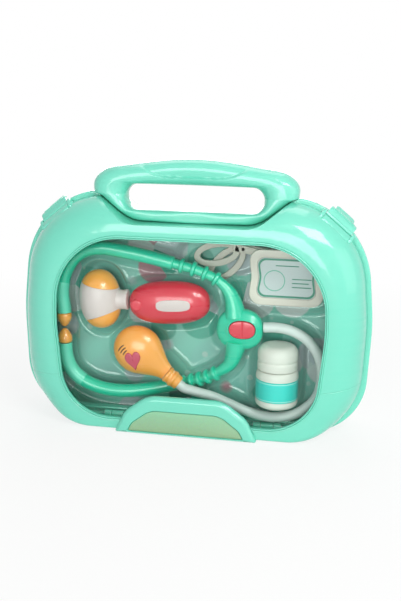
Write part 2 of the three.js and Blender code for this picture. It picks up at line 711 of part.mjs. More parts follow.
// Handle: a rounded ring between its outer outline and the finger slot
const scoopSlope = (flareHeight - scoopFloor) / (scoop.flareHalf - scoop.flatHalf);
const handleSeat = { half: scoop.flatHalf - gap / 2, floor: scoopFloor + gap };
const handleFoot = scoop.flareHalf + handle.footOverhang;
const footHeight = handleSeat.floor + (handleFoot - handleSeat.half) * scoopSlope + gap;
const handleCorner = scoop.flareHalf - handle.cornerInset;
const handleOutline = mirrored([
  corner(handleSeat.half, handleSeat.floor, scoopRadius.floor, facets.small),
  corner(handleFoot, footHeight, handleRadius.foot, facets.small),
  corner(handleCorner, caseHeight.top + handle.cornerRise, handleRadius.corner, facets.foot),
  corner(0, caseHeight.top + handle.topRise, handleRadius.top, facets.small),
]);
const slotHalf = scoop.flatHalf + slot.overhang;
const slotFloor = caseHeight.top - slot.floorDepth;
const slotOutline = mirrored([
  corner(slotHalf, slotFloor, slot.radius, facets.foot),
  corner(slotHalf, slotFloor + slot.height, slot.radius, facets.foot),
]);

// Where a ray from a centre at an angle leaves an outline.
function rayHit(loop, centre, angle) {
  const dx = Math.cos(angle);
  const dz = Math.sin(angle);
  for (let i = 0; i < loop.length; i += 1) {
    const a = loop[i];
    const b = loop[(i + 1) % loop.length];
    const ex = b.x - a.x;
    const ez = b.z - a.z;
    const cross = dx * ez - dz * ex;
    const ax = a.x - centre.x;
    const az = a.z - centre.z;
    const along = (ax * ez - az * ex) / cross;
    const share = (ax * dz - az * dx) / cross;
    if (along > 0 && share >= 0 && share <= 1) return { x: centre.x + dx * along, z: centre.z + dz * along };
  }
  return centre;
}

function handleScrewBar(side, radius) {
  const inside = scoopFloor - wall - gap;
  return rod(
    new THREE.Vector3(side * handleScrew.x, handleScrew.y, inside - handleScrew.headHeight),
    new THREE.Vector3(side * handleScrew.x, handleScrew.y, scoopFloor + handleScrew.reach),
    radius,
  );
}

function carryHandle() {
  const centre = { x: 0, z: slotFloor + slot.height / 2 };
  const outer = roundedLoop(handleOutline);
  const inner = roundedLoop(slotOutline);
  const turnTo = (p) => Math.atan2(p.z - centre.z, p.x - centre.x);
  const even = Array.from({ length: facets.handleAround }, (unused, step) => (
    2 * Math.PI * ((step + 0.5) / facets.handleAround) - Math.PI
  ));
  const everyOther = inner.filter((unused, index) => index % 2 === 0);
  const stations = [...even, ...outer.map(turnTo), ...everyOther.map(turnTo)].map((angle) => (
    Math.round(angle * facets.handlePerRadian) / facets.handlePerRadian
  ));
  const angles = [...new Set(stations)].sort((a, b) => a - b);
  const rings = angles.map((angle) => {
    const far = rayHit(outer, centre, angle);
    const near = rayHit(inner, centre, angle);
    const seatShare = Math.max(0, -Math.sin(angle));
    const power = THREE.MathUtils.lerp(handlePower.gripPower, handlePower.seatPower, seatShare);
    return ellipseLoop(1, 1, facets.handleSection, power).map((p) => new THREE.Vector3(
      (far.x + near.x) / 2 + ((far.x - near.x) / 2) * p.x,
      handle.halfThickness * p.z,
      (far.z + near.z) / 2 + ((far.z - near.z) / 2) * p.x,
    ));
  });
  let solid = loft(rings, true);
  const dent = new THREE.SphereGeometry(1, facets.dentAround, facets.dentDown);
  dent.scale(grip.half, grip.depth * 2, grip.halfHeight);
  dent.translate(0, -handle.halfThickness - grip.depth / 4, caseHeight.top + grip.rise);
  solid = solid.subtract(toSolid(dent));
  [-1, 1].forEach((side) => {
    solid = solid.subtract(handleScrewBar(side, handleScrew.shankRadius + handleScrew.clearance));
  });
  return solid;
}

function handleScrewSolid(side) {
  const inside = scoopFloor - wall - gap;
  const tip = scoopFloor + handleScrew.reach - gap;
  const at = (z) => new THREE.Vector3(side * handleScrew.x, handleScrew.y, z);
  return rod(at(inside - handleScrew.headHeight), at(inside), handleScrew.headRadius)
    .add(rod(at(inside - handleScrew.headHeight / 2), at(tip), handleScrew.shankRadius));
}

function latchFlap(side) {
  const inner = latch.rimGap;
  const outer = latch.rimGap + latch.thickness;
  const profile = [
    [latch.barrelOut - latch.thickness / 2, latch.barrelY],
    [latch.barrelOut, latch.barrelY - latch.barrelRadius / 2],
    [outer, latch.kneeY - latch.thickness / 2], [outer + gap, latch.heelY],
    [latch.lipOut, latch.lipY], [latch.lipOut - latch.thickness, latch.lipY + latch.thickness / 2],
    [inner, latch.heelY + latch.thickness], [inner, latch.kneeY],
  ];
  const slab = latchSlab(side, profile, -latch.halfWidth, latch.halfWidth);
  const half = latch.halfWidth;
  const tipY = latch.lipY + latch.thickness / 2;
  const planCorners = [
    corner(-half, latch.barrelY - overrun, leastRadius, facets.plain),
    corner(half, latch.barrelY - overrun, leastRadius, facets.plain),
    corner(half, latch.heelY, latch.heelRadius, facets.plain),
    corner(latch.lipHalf, tipY, latch.lipRadius, facets.small),
    corner(-latch.lipHalf, tipY, latch.lipRadius, facets.small),
    corner(-half, latch.heelY, latch.heelRadius, facets.plain),
  ];
  const plan = new THREE.Shape(roundedLoop(planCorners).map((p) => new THREE.Vector2(-p.x, p.z)));
  const height = 2 * (latch.lipOut - latch.barrelOut + overrun);
  const geometry = new THREE.ExtrudeGeometry(plan, { depth: height, bevelEnabled: false });
  geometry.translate(0, 0, -height / 2).rotateY(Math.PI / 2).applyMatrix4(latchFrame(side));
  return slab.intersect(toSolid(geometry))
    .add(latchBar(side, -half, half, latch.barrelRadius))
    .subtract(latchBar(side, -half - overrun, half + overrun, latch.boreRadius));
}

// Card and clear tray that lie in the rear shell
function liningLoop() {
  return caseLoop(bead.proud + rear.draft + wall + card.edge, wall + card.floorEdge);
}

const cardBackY = rest.frontY - gap;
const cardFrontY = cardBackY - card.thickness;
const trayBackY = cardFrontY - gap;
const trayFrontY = trayBackY - tray.sheet;

// The card and the tray end below the scoop, in a straight edge.
function liningSheet(yFront, yBack) {
  const top = scoopFloor - wall - card.edge;
  return prism(liningLoop(), yFront, yBack).subtract(box(
    new THREE.Vector3(-caseHalf, yFront - overrun, top),
    new THREE.Vector3(caseHalf, yBack + overrun, caseHeight.top),
  ));
}

function insertCard() {
  return liningSheet(cardFrontY, cardBackY);
}

// Stethoscope: two moulded arms meet at the hub, and a hose leads to the chest piece
const point = (x, y, z) => new THREE.Vector3(x, y, z);

function routePoints(routeShares) {
  return routeShares.map(([acrossShare, depthShare, upShare]) => (
    point(acrossShare * caseHalf, depthShare * frontDepth, upShare * caseHeight.top)
  ));
}

const upperRoute = routePoints(upperRouteShares);
const lowerRoute = routePoints(lowerRouteShares);
const hoseRoute = routePoints(hoseRouteShares);

// Chest piece axis, from the middle of the bulb to the tip of the nozzle that takes the hose
const chestAxis = point(Math.cos(radians(nozzleTilt)), 0, Math.sin(radians(nozzleTilt)));
const bulbPlace = placeAt(bulbPlaceShares);
const nozzleRoot = point(bulbPlace.x, nozzle.y, bulbPlace.z).addScaledVector(chestAxis, bulb.length + gap);
[2 * nozzle.socket, gap - nozzle.socket].forEach((past) => {
  hoseRoute.push(nozzleRoot.clone().addScaledVector(chestAxis, nozzle.length + past));
});

// Rests that rise from the tray sheet to the back of each tool
function restUnder(route, share, radius) {
  const place = new THREE.CatmullRomCurve3(route).getPointAt(share);
  return { x: place.x, z: place.z, y: place.y + radius };
}

const hubPlace = placeAt(hubPlaceShares);
const hammerPlace = placeAt(hammerPlaceShares);
const headPlace = { x: hammerPlace.x - head.left, z: hammerPlace.z - head.drop };
const bottlePlace = placeAt(bottlePlaceShares);
const badgePlace = placeAt(badgePlaceShares);
const rivetPlace = placeAt(scissorsPlaceShares);
const loopPlace = ({ left, drop }) => ({ x: rivetPlace.x - left, z: rivetPlace.z - drop });
const upperLoopPlace = loopPlace(scissorLoops.upper);
const scissorsBackY = scissors.frontY + 2 * scissors.thickness + gap;
const trayRests = [
  ...upperRestShares.map((share) => restUnder(upperRoute, share, headset.radius)),
  ...lowerRestShares.map((share) => restUnder(lowerRoute, share, headset.radius)),
  ...hoseRestShares.map((share) => restUnder(hoseRoute, share, hoseRadius)),
  { x: upperRoute[0].x, z: upperRoute[0].z - earTip.length / 2, y: headset.y + earTip.radius },
  { x: lowerRoute[0].x, z: lowerRoute[0].z + earTip.length / 2, y: headset.y + earTip.radius },
  { x: hubPlace.x, z: hubPlace.z, y: hub.y + hub.halfDepth },
  { x: bulbPlace.x, z: bulbPlace.z, y: bulb.y + bulb.radius * bulbFlatShare },
  { x: hammerPlace.x, z: hammerPlace.z, y: hammer.y + hammer.halfDepth },
  { x: headPlace.x, z: headPlace.z, y: hammer.y + head.radius },
  { x: bottlePlace.x, z: bottlePlace.z + bottle.top / 2, y: bottle.y + bottle.radius },
  ...badgeRestShares.map(([acrossShare, upShare]) => ({
    x: badgePlace.x + acrossShare * badge.halfWidth, z: badgePlace.z + upShare * badge.halfHeight,
    y: scissors.frontY - gap,
  })),
  { x: upperLoopPlace.x - scissorLoop.halfLength + scissors.band / 2, z: upperLoopPlace.z, y: scissorsBackY },
  {
    x: rivetPlace.x + scissorBlade.length * bladeRestShare, z: rivetPlace.z - scissorBlade.width,
    y: scissorsBackY,
  },
];

function blisterTray() {
  let solid = liningSheet(trayFrontY, trayBackY);
  trayRests.forEach((place) => {
    const half = tray.restSize / 2;
    solid = solid.add(box(
      new THREE.Vector3(place.x - half, place.y + gap, place.z - half),
      new THREE.Vector3(place.x + half, trayFrontY + tray.root, place.z + half),
    ));
  });
  return solid;
}

// The arm is plain up to its ribs, which stand on a thinner core, and swells again to meet the hub.
function headsetArm(route, ribs) {
  const edges = (length) => {
    const first = length - ribs.lead;
    const list = [[first - headsetRib.blend, headset.radius], [first, headset.core]];
    for (let rib = 0; rib < headsetRibCount; rib += 1) {
      const start = first + ribs.pitch * (rib + 0.5);
      list.push([start, headset.core], [start + headsetRib.blend, headsetRib.radius]);
      list.push([start + headsetRib.width - headsetRib.blend, headsetRib.radius]);
      list.push([start + headsetRib.width, headset.core]);
    }
    const last = list[list.length - 1][0];
    list.push([(last + length) / 2, (headset.core + headset.root) / 2], [length, headset.root]);
    return list;
  };
  const stations = (length) => {
    const plainLength = edges(length)[0][0];
    const plain = Array.from({ length: facets.arm }, (unused, i) => (plainLength * i) / facets.arm);
    return [...plain, ...edges(length).map((edge) => edge[0])];
  };
  const radiusAt = (distance, length) => {
    const edge = edges(length).find((candidate) => Math.abs(candidate[0] - distance) < gap / 10);
    return edge ? edge[1] : headset.radius;
  };
  return tube(route, stations, facets.armSection, radiusAt);
}

function earTipSolid(z, up) {
  const profile = earTipShares.map(([radiusShare, lengthShare]) => [
    earTip.radius * radiusShare, earTip.length * lengthShare,
  ]);
  const root = point(upperRoute[0].x, headset.y, z);
  return turned([[0, 0], ...profile, [0, earTip.length]], root, point(0, 0, up), facets.tip);
}

const hubFrontY = hub.y - hub.halfDepth;
const buttonPlace = { x: hubPlace.x + hubButton.right, z: hubPlace.z + hubButton.rise };

function buttonLoop(grow) {
  const loop = ellipseLoop(hubButton.halfWidth + grow, hubButton.halfHeight + grow, facets.button);
  return movedLoop(loop, buttonPlace.x, buttonPlace.z);
}

// The hub's outline shrinks towards its front and back, which stay flat.
function hubSolid() {
  const loop = ellipseLoop(hub.halfWidth, hub.halfHeight, facets.oval, hubPower);
  const rings = Array.from({ length: facets.lens + 1 }, (unused, step) => {
    const angle = Math.PI * (step / facets.lens) - Math.PI / 2;
    const deep = Math.sign(Math.sin(angle)) * Math.abs(Math.sin(angle)) ** (2 / hubPower);
    const share = Math.max(Math.max(Math.cos(angle), 0) ** (2 / hubPower), hubFaceShare);
    const shrunk = loop.map((p) => ({ x: hubPlace.x + p.x * share, z: hubPlace.z + p.z * share }));
    return ringAt(shrunk, hub.y + hub.halfDepth * deep);
  });
  const armRoom = headset.root + gap;
  const sockets = [upperRoute, lowerRoute].map((route) => {
    const end = route[route.length - 1];
    const away = new THREE.Vector3().subVectors(route[route.length - 2], end).normalize();
    const [near, far] = [-gap, 3 * armRoom].map((distance) => end.clone().addScaledVector(away, distance));
    return rod(near, far, armRoom);
  });
  const { x, y, z } = hoseRoute[0];
  return loft(rings)
    .subtract(prism(buttonLoop(gap), hubFrontY - overrun, hubFrontY + hubButton.pocket))
    .subtract(sockets[0])
    .subtract(sockets[1])
    .subtract(rod(point(x - gap, y, z), point(x + 3 * armRoom, y, z), hoseRadius + 2 * gap));
}

function hubButtonSolid() {
  const backY = hubFrontY + hubButton.pocket - hubButton.travel - gap;
  return prism(buttonLoop(0), hubFrontY - hubButton.proud, backY);
}

function hoseSolid() {
  const stations = (length) => (
    Array.from({ length: facets.hose + 1 }, (unused, step) => (length * step) / facets.hose)
  );
  return tube(hoseRoute, stations, facets.hoseSection, () => hoseRadius);
}

// A heart from a sum of cosines, whose shares give its notch and its point.
const heartShares = [0.8125, -0.3125, -0.125, -0.0625];

function heartLoop(grow) {
  const points = Array.from({ length: facets.oval }, (unused, step) => {
    const turn = (2 * Math.PI * step) / facets.oval;
    const rise = heartShares.reduce((sum, share, order) => sum + share * Math.cos((order + 1) * turn), 0);
    return { x: (heart.half + grow) * Math.sin(turn) ** 3, z: (heart.halfHeight + grow) * rise };
  });
  return movedLoop(points.reverse(), bulbPlace.x - heart.left, bulbPlace.z - heart.drop, heartTilt);
}

const bulbFrontY = bulb.y - bulb.radius * bulbFlatShare;

// Chest piece: a flattened pear, with a collar that takes the hose
function chestBulb() {
  const profile = [[0, -bulb.radius]];
  for (let step = 1; step <= facets.bulb; step += 1) {
    const angle = (Math.PI / 2) * (step / facets.bulb) - Math.PI / 2;
    profile.push([bulb.radius * Math.cos(angle), bulb.radius * Math.sin(angle)]);
  }
  bulbNeckShares.forEach((share) => {
    const ease = share * share * (3 - 2 * share);
    profile.push([THREE.MathUtils.lerp(bulb.radius, bulb.mouth, ease), bulb.length * share]);
  });
  profile.push([0, bulb.length]);
  const middle = point(bulbPlace.x, bulb.y, bulbPlace.z);
  const pear = turned(profile, middle, chestAxis, facets.pear, bulbFlatShare);
  const pocketBackY = bulbFrontY - heart.proud + heart.depth + heart.travel + gap;
  return pear.subtract(prism(heartLoop(gap), bulbFrontY - overrun, pocketBackY));
}

function chestNozzle() {
  const ridges = nozzleRidgeShares.map((share, index) => (
    [index % 2 === 0 ? nozzle.lip : nozzle.radius, nozzle.length * share]
  ));
  const socketFloor = nozzle.length - nozzle.socket;
  const profile = [
    [0, 0], [nozzle.radius, 0], ...ridges, [nozzle.radius, nozzle.length],
    [nozzle.bore, nozzle.length], [nozzle.bore, socketFloor], [0, socketFloor],
  ];
  return turned(profile, nozzleRoot, chestAxis, facets.thin);
}

function heartButton() {
  const frontY = bulbFrontY - heart.proud;
  return prism(heartLoop(0), frontY, frontY + heart.depth);
}

// Reflex hammer: an egg-shaped handle, a white neck and a barrel head with soft ends
const hammerAxis = point(Math.cos(radians(hammerTilt)), 0, Math.sin(radians(hammerTilt)));

// The handle's section swells and closes again as a rounded egg does along its length.
function eggSolid() {
  const loops = Array.from({ length: facets.egg + 1 }, (unused, step) => {
    const along = Math.sin(Math.PI * (step / facets.egg) - Math.PI / 2);
    const swell = Math.max(1 - Math.abs(along) ** hammerPower, 0) ** (1 / hammerPower);
    const share = Math.max(swell, hammerTipShare);
    return Array.from({ length: facets.eggSection }, (none, side) => {
      const turn = (2 * Math.PI * (side + 0.5)) / facets.eggSection;
      return point(
        along * hammer.halfLength, hammer.halfDepth * share * Math.cos(turn),
        hammer.halfHeight * share * Math.sin(turn),
      );
    });
  });
  const geometry = loftGeometry(loops);
  geometry.rotateY(-radians(hammerTilt)).translate(hammerPlace.x, hammer.y, hammerPlace.z);
  return toSolid(geometry);
}

const bossPlace = { x: hammerPlace.x - hammerBoss.left, z: hammerPlace.z - hammerBoss.drop };
const bossBackY = hammer.y - hammerBoss.forward;
const neckMiddle = point(hammerPlace.x - neck.left, hammer.y, hammerPlace.z + neck.rise);
const hammerFrontY = hammer.y - hammer.halfDepth;

function patchLoop(grow) {
  const centre = point(hammerPlace.x, 0, hammerPlace.z).addScaledVector(hammerAxis, hammerPatch.offset);
  const halfLength = hammerPatch.halfLength + grow;
  const loop = ellipseLoop(halfLength, hammerPatch.halfHeight + grow, facets.barrel, hammerPatchPower);
  return movedLoop(loop, centre.x, centre.z, hammerTilt);
}

function hammerHandle() {
  const patchRoom = prism(patchLoop(gap), hammerFrontY - overrun, hammerFrontY + hammerPatch.thickness + gap);
  const bossRoom = rod(
    point(bossPlace.x, hammerFrontY - overrun, bossPlace.z), point(bossPlace.x, bossBackY + gap, bossPlace.z),
    hammerBoss.radius + 2 * gap, facets.thin,
  );
  const neckRoom = rod(
    neckMiddle.clone().addScaledVector(hammerAxis, -overrun),
    neckMiddle.clone().addScaledVector(hammerAxis, neck.halfLength + gap), neck.radius + overrun, facets.thin,
  );
  return eggSolid().subtract(patchRoom).subtract(bossRoom).subtract(neckRoom);
}

function hammerPatchSolid() {
  return prism(patchLoop(0), hammerFrontY, hammerFrontY + hammerPatch.thickness);
}

function hammerBossSolid() {
  const frontY = bossBackY - hammerBoss.length;
  return rod(
    point(bossPlace.x, frontY, bossPlace.z), point(bossPlace.x, bossBackY, bossPlace.z),
    hammerBoss.radius, facets.thin,
  );
}

const headAxis = point(-Math.sin(radians(headTilt)), 0, Math.cos(radians(headTilt)));
const headMiddle = point(headPlace.x, hammer.y, headPlace.z);

// Radius of the head's egg at a distance from its middle along its axis.
function headRadius(distance) {
  return head.radius * Math.max(1 - Math.abs(distance / head.halfLength) ** headPower, 0) ** (1 / headPower);
}

function headBand(grow) {
  const half = head.bandHalf + grow;
  const sides = headBandShares.map((share) => [headRadius(head.bandHalf * share) + grow, half * share]);
  return turned([[0, -half], ...sides, [0, half]], headMiddle, headAxis, facets.barrel);
}

function hammerCap(side) {
  const start = head.bandHalf + gap;
  const sides = headCapShares.map((share) => {
    const distance = THREE.MathUtils.lerp(start, head.halfLength, share);
    return [headRadius(distance) - head.capInset * (1 - share), distance];
  });
  const axis = headAxis.clone().multiplyScalar(side);
  return turned([[0, start], ...sides, [0, head.halfLength]], headMiddle, axis, facets.barrel);
}

function hammerNeck() {
  const bar = rod(
    neckMiddle.clone().addScaledVector(hammerAxis, -2 * neck.halfLength),
    neckMiddle.clone().addScaledVector(hammerAxis, neck.halfLength), neck.radius, facets.thin,
  );
  return bar.subtract(headBand(gap));
}

// Medicine bottle
const bottleBase = point(bottlePlace.x, bottle.y, bottlePlace.z);

function bottleBody() {
  const inner = bottle.radius - bottleLabel.recess;
  const neckTop = bottleCap.top - bottleCap.wall - gap;
  const grooveFloor = bottleLabel.floor - gap;
  const grooveTop = bottleLabel.top + gap;
  const profile = [
    [0, 0], [bottle.radius - bottleEdge.floor, 0], [bottle.radius, bottleEdge.floor],
    [bottle.radius, grooveFloor], [inner, grooveFloor], [inner, grooveTop],
    [bottle.radius, grooveTop], [bottle.radius, bottle.shoulder],
    [bottle.radius - bottleEdge.shoulder, bottle.top], [bottle.neck, bottle.top],
    [bottle.neck, neckTop], [0, neckTop],
  ];
  return turned(profile, bottleBase, point(0, 0, 1), facets.oval);
}

function bottleLabelSolid() {
  const inner = bottle.radius - bottleLabel.recess + gap;
  const profile = [
    [inner, bottleLabel.floor], [bottle.radius, bottleLabel.floor],
    [bottle.radius, bottleLabel.top], [inner, bottleLabel.top], [inner, bottleLabel.floor],
  ];
  return turned(profile, bottleBase, point(0, 0, 1), facets.oval);
}

function bottleCapSolid() {
  const capRing = (height, inset) => Array.from({ length: 2 * bottleCapRidgeCount }, (unused, step) => {
    const angle = (Math.PI * step) / bottleCapRidgeCount;
    const radius = bottleCap.radius - inset - (step % 2) * bottleCap.ridgeDepth;
    return point(radius * Math.cos(angle), radius * Math.sin(angle), height).add(bottleBase);
  });
  const body = loft([
    capRing(bottleCap.floor, 0),
    capRing(bottleCap.top - bottleEdge.cap, 0),
    capRing(bottleCap.top, bottleEdge.cap),
  ]);
  const bore = rod(
    point(0, 0, bottleCap.floor - overrun).add(bottleBase),
    point(0, 0, bottleCap.top - bottleCap.wall).add(bottleBase), bottle.neck + gap, facets.oval,
  );
  return body.subtract(bore);
}

// Badge: a plate with drawn-in sides, and a thin card in its front
function badgeLoop(inset) {
  const halfWidth = badge.halfWidth - inset;
  const halfHeight = badge.halfHeight - inset;
  const radius = badge.cornerRadius - inset / 2;
  const right = [
    corner(halfWidth, -halfHeight, radius, facets.badge),
    corner(halfWidth - badge.waist, 0, 2 * badge.cornerRadius, facets.small),
    corner(halfWidth, halfHeight, radius, facets.badge),
  ];
  return movedLoop(roundedLoop(mirrored(right)), badgePlace.x, badgePlace.z);
}

const badgeBackY = scissors.frontY - gap;
const badgeFrontY = badgeBackY - badge.thickness;

function idBadge() {
  const recessY = badgeFrontY + badgeCard.thickness + gap;
  return prism(badgeLoop(0), badgeFrontY, badgeBackY)
    .subtract(prism(badgeLoop(badgeCard.rim), badgeFrontY - overrun, recessY));
}

function badgeCardSolid() {
  return prism(badgeLoop(badgeCard.rim + gap), badgeFrontY, badgeFrontY + badgeCard.thickness);
}

// Scissors: two flat halves, one behind the other, on a rivet
function scissorHalf(loopOffset, layer, bladeTilt) {
  const frontY = scissors.frontY + layer * (scissors.thickness + gap);
  const backY = frontY + scissors.thickness;
  const middle = loopPlace(loopOffset);
  const lean = THREE.MathUtils.radToDeg(Math.atan2(loopOffset.drop, loopOffset.left));
  const ring = (inset) => movedLoop(
    ellipseLoop(scissorLoop.halfLength - inset, scissorLoop.halfHeight - inset, facets.button),
    middle.x, middle.z, lean,
  );
  const half = scissorBlade.width / 2;
  const blade = [
    { x: -scissorBlade.width, z: -half }, { x: scissorBlade.length, z: -scissorBlade.tip },
    { x: scissorBlade.length, z: scissorBlade.tip }, { x: -scissorBlade.width, z: half },
  ];
  return prism(ring(0), frontY, backY)
    .add(prism(movedLoop(blade, rivetPlace.x, rivetPlace.z, bladeTilt), frontY, backY))
    .subtract(prism(ring(scissors.band), frontY - overrun, backY + overrun))
    .subtract(rivetBar(frontY - overrun, backY + overrun, scissors.bore));
}

function rivetBar(frontY, backY, radius) {
  return rod(point(rivetPlace.x, frontY, rivetPlace.z), point(rivetPlace.x, backY, rivetPlace.z), radius);
}

// The case
addPiece('rear_shell', rearShell(), mint);
addPiece('front_cover', frontCover(), mint);
addPiece('window_bezel', windowBezel(), deepMint);
addPiece('window_pane', windowPane(), clear, { transparent: true, opacity: 0.2, roughness: 0.05 });
addPiece('base_plate', basePlate(), mint);
addPiece('name_label', nameLabel(), 0x88b890, { roughness: 0.5 });
addPiece('carry_handle', carryHandle(), mint);
[-1, 1].forEach((side) => {
  const sideName = side < 0 ? 'left' : 'right';
  const spans = hingeSpans(side);
  addPiece(`latch_${sideName}`, latchFlap(side), mint);
  addPiece(`latch_pin_${sideName}`, latchBar(side, -lugEnd, lugEnd, latch.pinRadius), grey, steel);
  addPiece(`hinge_pin_${sideName}`, hingeBar(...spans.pin, hinge.pinRadius), grey, steel);
  addPiece(`handle_screw_${sideName}`, handleScrewSolid(side), grey, steel);
});
addPiece('insert_card', insertCard(), 0x3a9a88, { roughness: 0.8 });
addPiece('blister_tray', blisterTray(), clear, { transparent: true, opacity: 0.25, roughness: 0.1 });

// The stethoscope
addPiece('headset_arm_upper', headsetArm(upperRoute, upperRibs), deepMint);
addPiece('headset_arm_lower', headsetArm(lowerRoute, lowerRibs), deepMint);
addPiece('ear_tip_upper', earTipSolid(upperRoute[0].z - gap, -1), orange);
addPiece('ear_tip_lower', earTipSolid(lowerRoute[0].z + gap, 1), orange);
addPiece('stethoscope_hub', hubSolid(), deepMint);
addPiece('hub_button', hubButtonSolid(), red);
addPiece('stethoscope_hose', hoseSolid(), white);
addPiece('chest_bulb', chestBulb(), orange);
addPiece('chest_nozzle', chestNozzle(), orange);
addPiece('heart_button', heartButton(), 0xd05078);

// The other tools
addPiece('hammer_handle', hammerHandle(), red);
addPiece('hammer_patch', hammerPatchSolid(), white);
addPiece('hammer_boss', hammerBossSolid(), red);
addPiece('hammer_neck', hammerNeck(), white);
addPiece('hammer_head', headBand(0), white);
addPiece('hammer_cap_top', hammerCap(1), orange);
addPiece('hammer_cap_bottom', hammerCap(-1), orange);
addPiece('bottle_body', bottleBody(), white);
addPiece('bottle_cap', bottleCapSolid(), white);
addPiece('bottle_label', bottleLabelSolid(), 0x35cfc4);
addPiece('id_badge', idBadge(), 0xd4cec4);
addPiece('badge_card', badgeCardSolid(), white, { roughness: 0.6 });
addPiece('scissor_half_a', scissorHalf(scissorLoops.upper, 0, scissorTilt.upper), grey);
addPiece('scissor_half_b', scissorHalf(scissorLoops.lower, 1, scissorTilt.lower), grey);
addPiece('scissor_rivet', rivetBar(scissors.frontY, scissorsBackY, scissors.rivetRadius), grey);

export default object;
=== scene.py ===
import math

import bmesh
import bpy
import numpy as np
from mathutils import Matrix, Vector


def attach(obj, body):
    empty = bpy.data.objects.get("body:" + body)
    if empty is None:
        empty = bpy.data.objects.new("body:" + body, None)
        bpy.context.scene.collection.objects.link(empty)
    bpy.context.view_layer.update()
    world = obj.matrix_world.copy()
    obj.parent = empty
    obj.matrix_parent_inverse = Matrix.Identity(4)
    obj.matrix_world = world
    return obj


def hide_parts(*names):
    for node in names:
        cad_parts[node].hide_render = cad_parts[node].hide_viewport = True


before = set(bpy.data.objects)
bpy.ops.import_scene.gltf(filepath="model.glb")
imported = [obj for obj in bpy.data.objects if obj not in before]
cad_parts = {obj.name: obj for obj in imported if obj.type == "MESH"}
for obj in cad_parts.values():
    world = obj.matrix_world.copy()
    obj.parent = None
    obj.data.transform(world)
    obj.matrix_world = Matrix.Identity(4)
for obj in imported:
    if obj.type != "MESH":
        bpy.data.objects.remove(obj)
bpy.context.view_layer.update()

# Every size below is in millimetres and turns to metres where a mesh, a light or a texture is made.
# X runs across the case, its front looks towards -Y, and Z is up.


# Studio: the photograph looks a little down on the case from its right, against white, under a
# softbox at the upper right, with pale walls in front, on the right and behind, and a top light.
view_turn, view_rise, view_roll = (math.radians(degrees) for degrees in (9.727, 14.231, 0.957))
view_target = np.array([5.234, 0, 103.14])
view_distance = 674.574
film_height = 36
focal_pixels, photo_rows = 850, 601


def linear(code):
    """The linear colour of an sRGB code: a share s over 0.04045 becomes ((s + 0.055) / 1.055) to the 2.4."""
    shares = np.array([int(code[start:start + 2], 16) for start in (1, 3, 5)]) / 255
    curved = np.where(shares <= 0.04045, shares / 12.92, ((shares + 0.055) / 1.055) ** 2.4)
    return (*curved.tolist(), 1.0)


def add(tree, kind, settings=None, inputs=None):
    """Adds one node: settings are its own properties, and each input is a value or another node's socket."""
    made = tree.nodes.new("ShaderNode" + kind)
    for name, value in (settings or {}).items():
        setattr(made, name, value)
    for name, value in (inputs or {}).items():
        if isinstance(value, bpy.types.NodeSocket):
            tree.links.new(value, made.inputs[name])
        else:
            made.inputs[name].default_value = value
    return made



def reckon(tree, operation, *values, clamp=False):
    """One sum on values or sockets, such as ADD or MULTIPLY."""
    settings = {"operation": operation, "use_clamp": clamp}
    return add(tree, "Math", settings, dict(enumerate(values))).outputs[0]


def remap(tree, value, from_low, from_high, to_low, to_high):
    """A value carried from one span to another, and held at its ends."""
    return add(tree, "MapRange", None, {
        "Value": value, "From Min": from_low, "From Max": from_high, "To Min": to_low, "To Max": to_high,
    }).outputs[0]


def bare_material(name):
    """A material whose tree holds nothing yet."""
    material = bpy.data.materials.new(name)
    material.use_nodes = True
    material.node_tree.nodes.clear()
    return material, material.node_tree


def show(name, data):
    """A new object, linked to the scene."""
    thing = bpy.data.objects.new(name, data)
    bpy.context.scene.collection.objects.link(thing)
    return thing


def point_camera():
    """The camera looks at the target from its distance, with its axes turned by the roll."""
    back = np.array([
        math.sin(view_turn) * math.cos(view_rise), -math.cos(view_turn) * math.cos(view_rise),
        math.sin(view_rise),
    ])
    right = np.array([math.cos(view_turn), math.sin(view_turn), 0])
    up = np.cross(back, right)
    axes = np.eye(4)
    axes[:3, 0] = math.cos(view_roll) * right + math.sin(view_roll) * up
    axes[:3, 1] = -math.sin(view_roll) * right + math.cos(view_roll) * up
    axes[:3, 2] = back
    axes[:3, 3] = (view_target + view_distance * back) / 1000
    camera = show("camera", bpy.data.cameras.new("camera"))
    camera.data.sensor_fit = "VERTICAL"
    camera.data.sensor_height = film_height
    camera.data.lens = focal_pixels / photo_rows * film_height
    camera.data.clip_start = 0.01
    camera.matrix_world = Matrix(axes.tolist())
    bpy.context.scene.camera = camera


def hang_softbox(name, place, width, height, watts, colour="#FFFFFF"):
    """A rectangular lamp at a place, turned to face the middle of the case."""
    lamp = bpy.data.lights.new(name, "AREA")
    lamp.shape = "RECTANGLE"
    lamp.size = width / 1000
    lamp.size_y = height / 1000
    lamp.energy = watts
    lamp.color = linear(colour)[:3]
    at = Vector(place) / 1000
    aim = Vector(view_target) / 1000 - at
    holder = show(name, lamp)
    holder.matrix_world = Matrix.Translation(at) @ aim.to_track_quat("-Z", "Y").to_matrix().to_4x4()


def seen_share(tree):
    """A socket that is 1 for camera, transmission and glossy rays, and 0 for the rays of diffuse light."""
    rays = add(tree, "LightPath").outputs
    straight = reckon(tree, "ADD", rays["Is Camera Ray"], rays["Is Transmission Ray"])
    return reckon(tree, "ADD", straight, rays["Is Glossy Ray"], clamp=True)


point_camera()
hang_softbox("key_softbox", (520, -640, 740), 460, 330, 5.4, "#FFFEFB")
hang_softbox("front_wall", (-60, -1500, 220), 1000, 800, 13.0)
hang_softbox("right_wall", (1150, -420, 330), 900, 900, 2.6)
hang_softbox("top_softbox", (0, 260, 900), 700, 500, 2.2)
hang_softbox("rear_wall", (-300, 1500, 500), 1000, 800, 9.0)

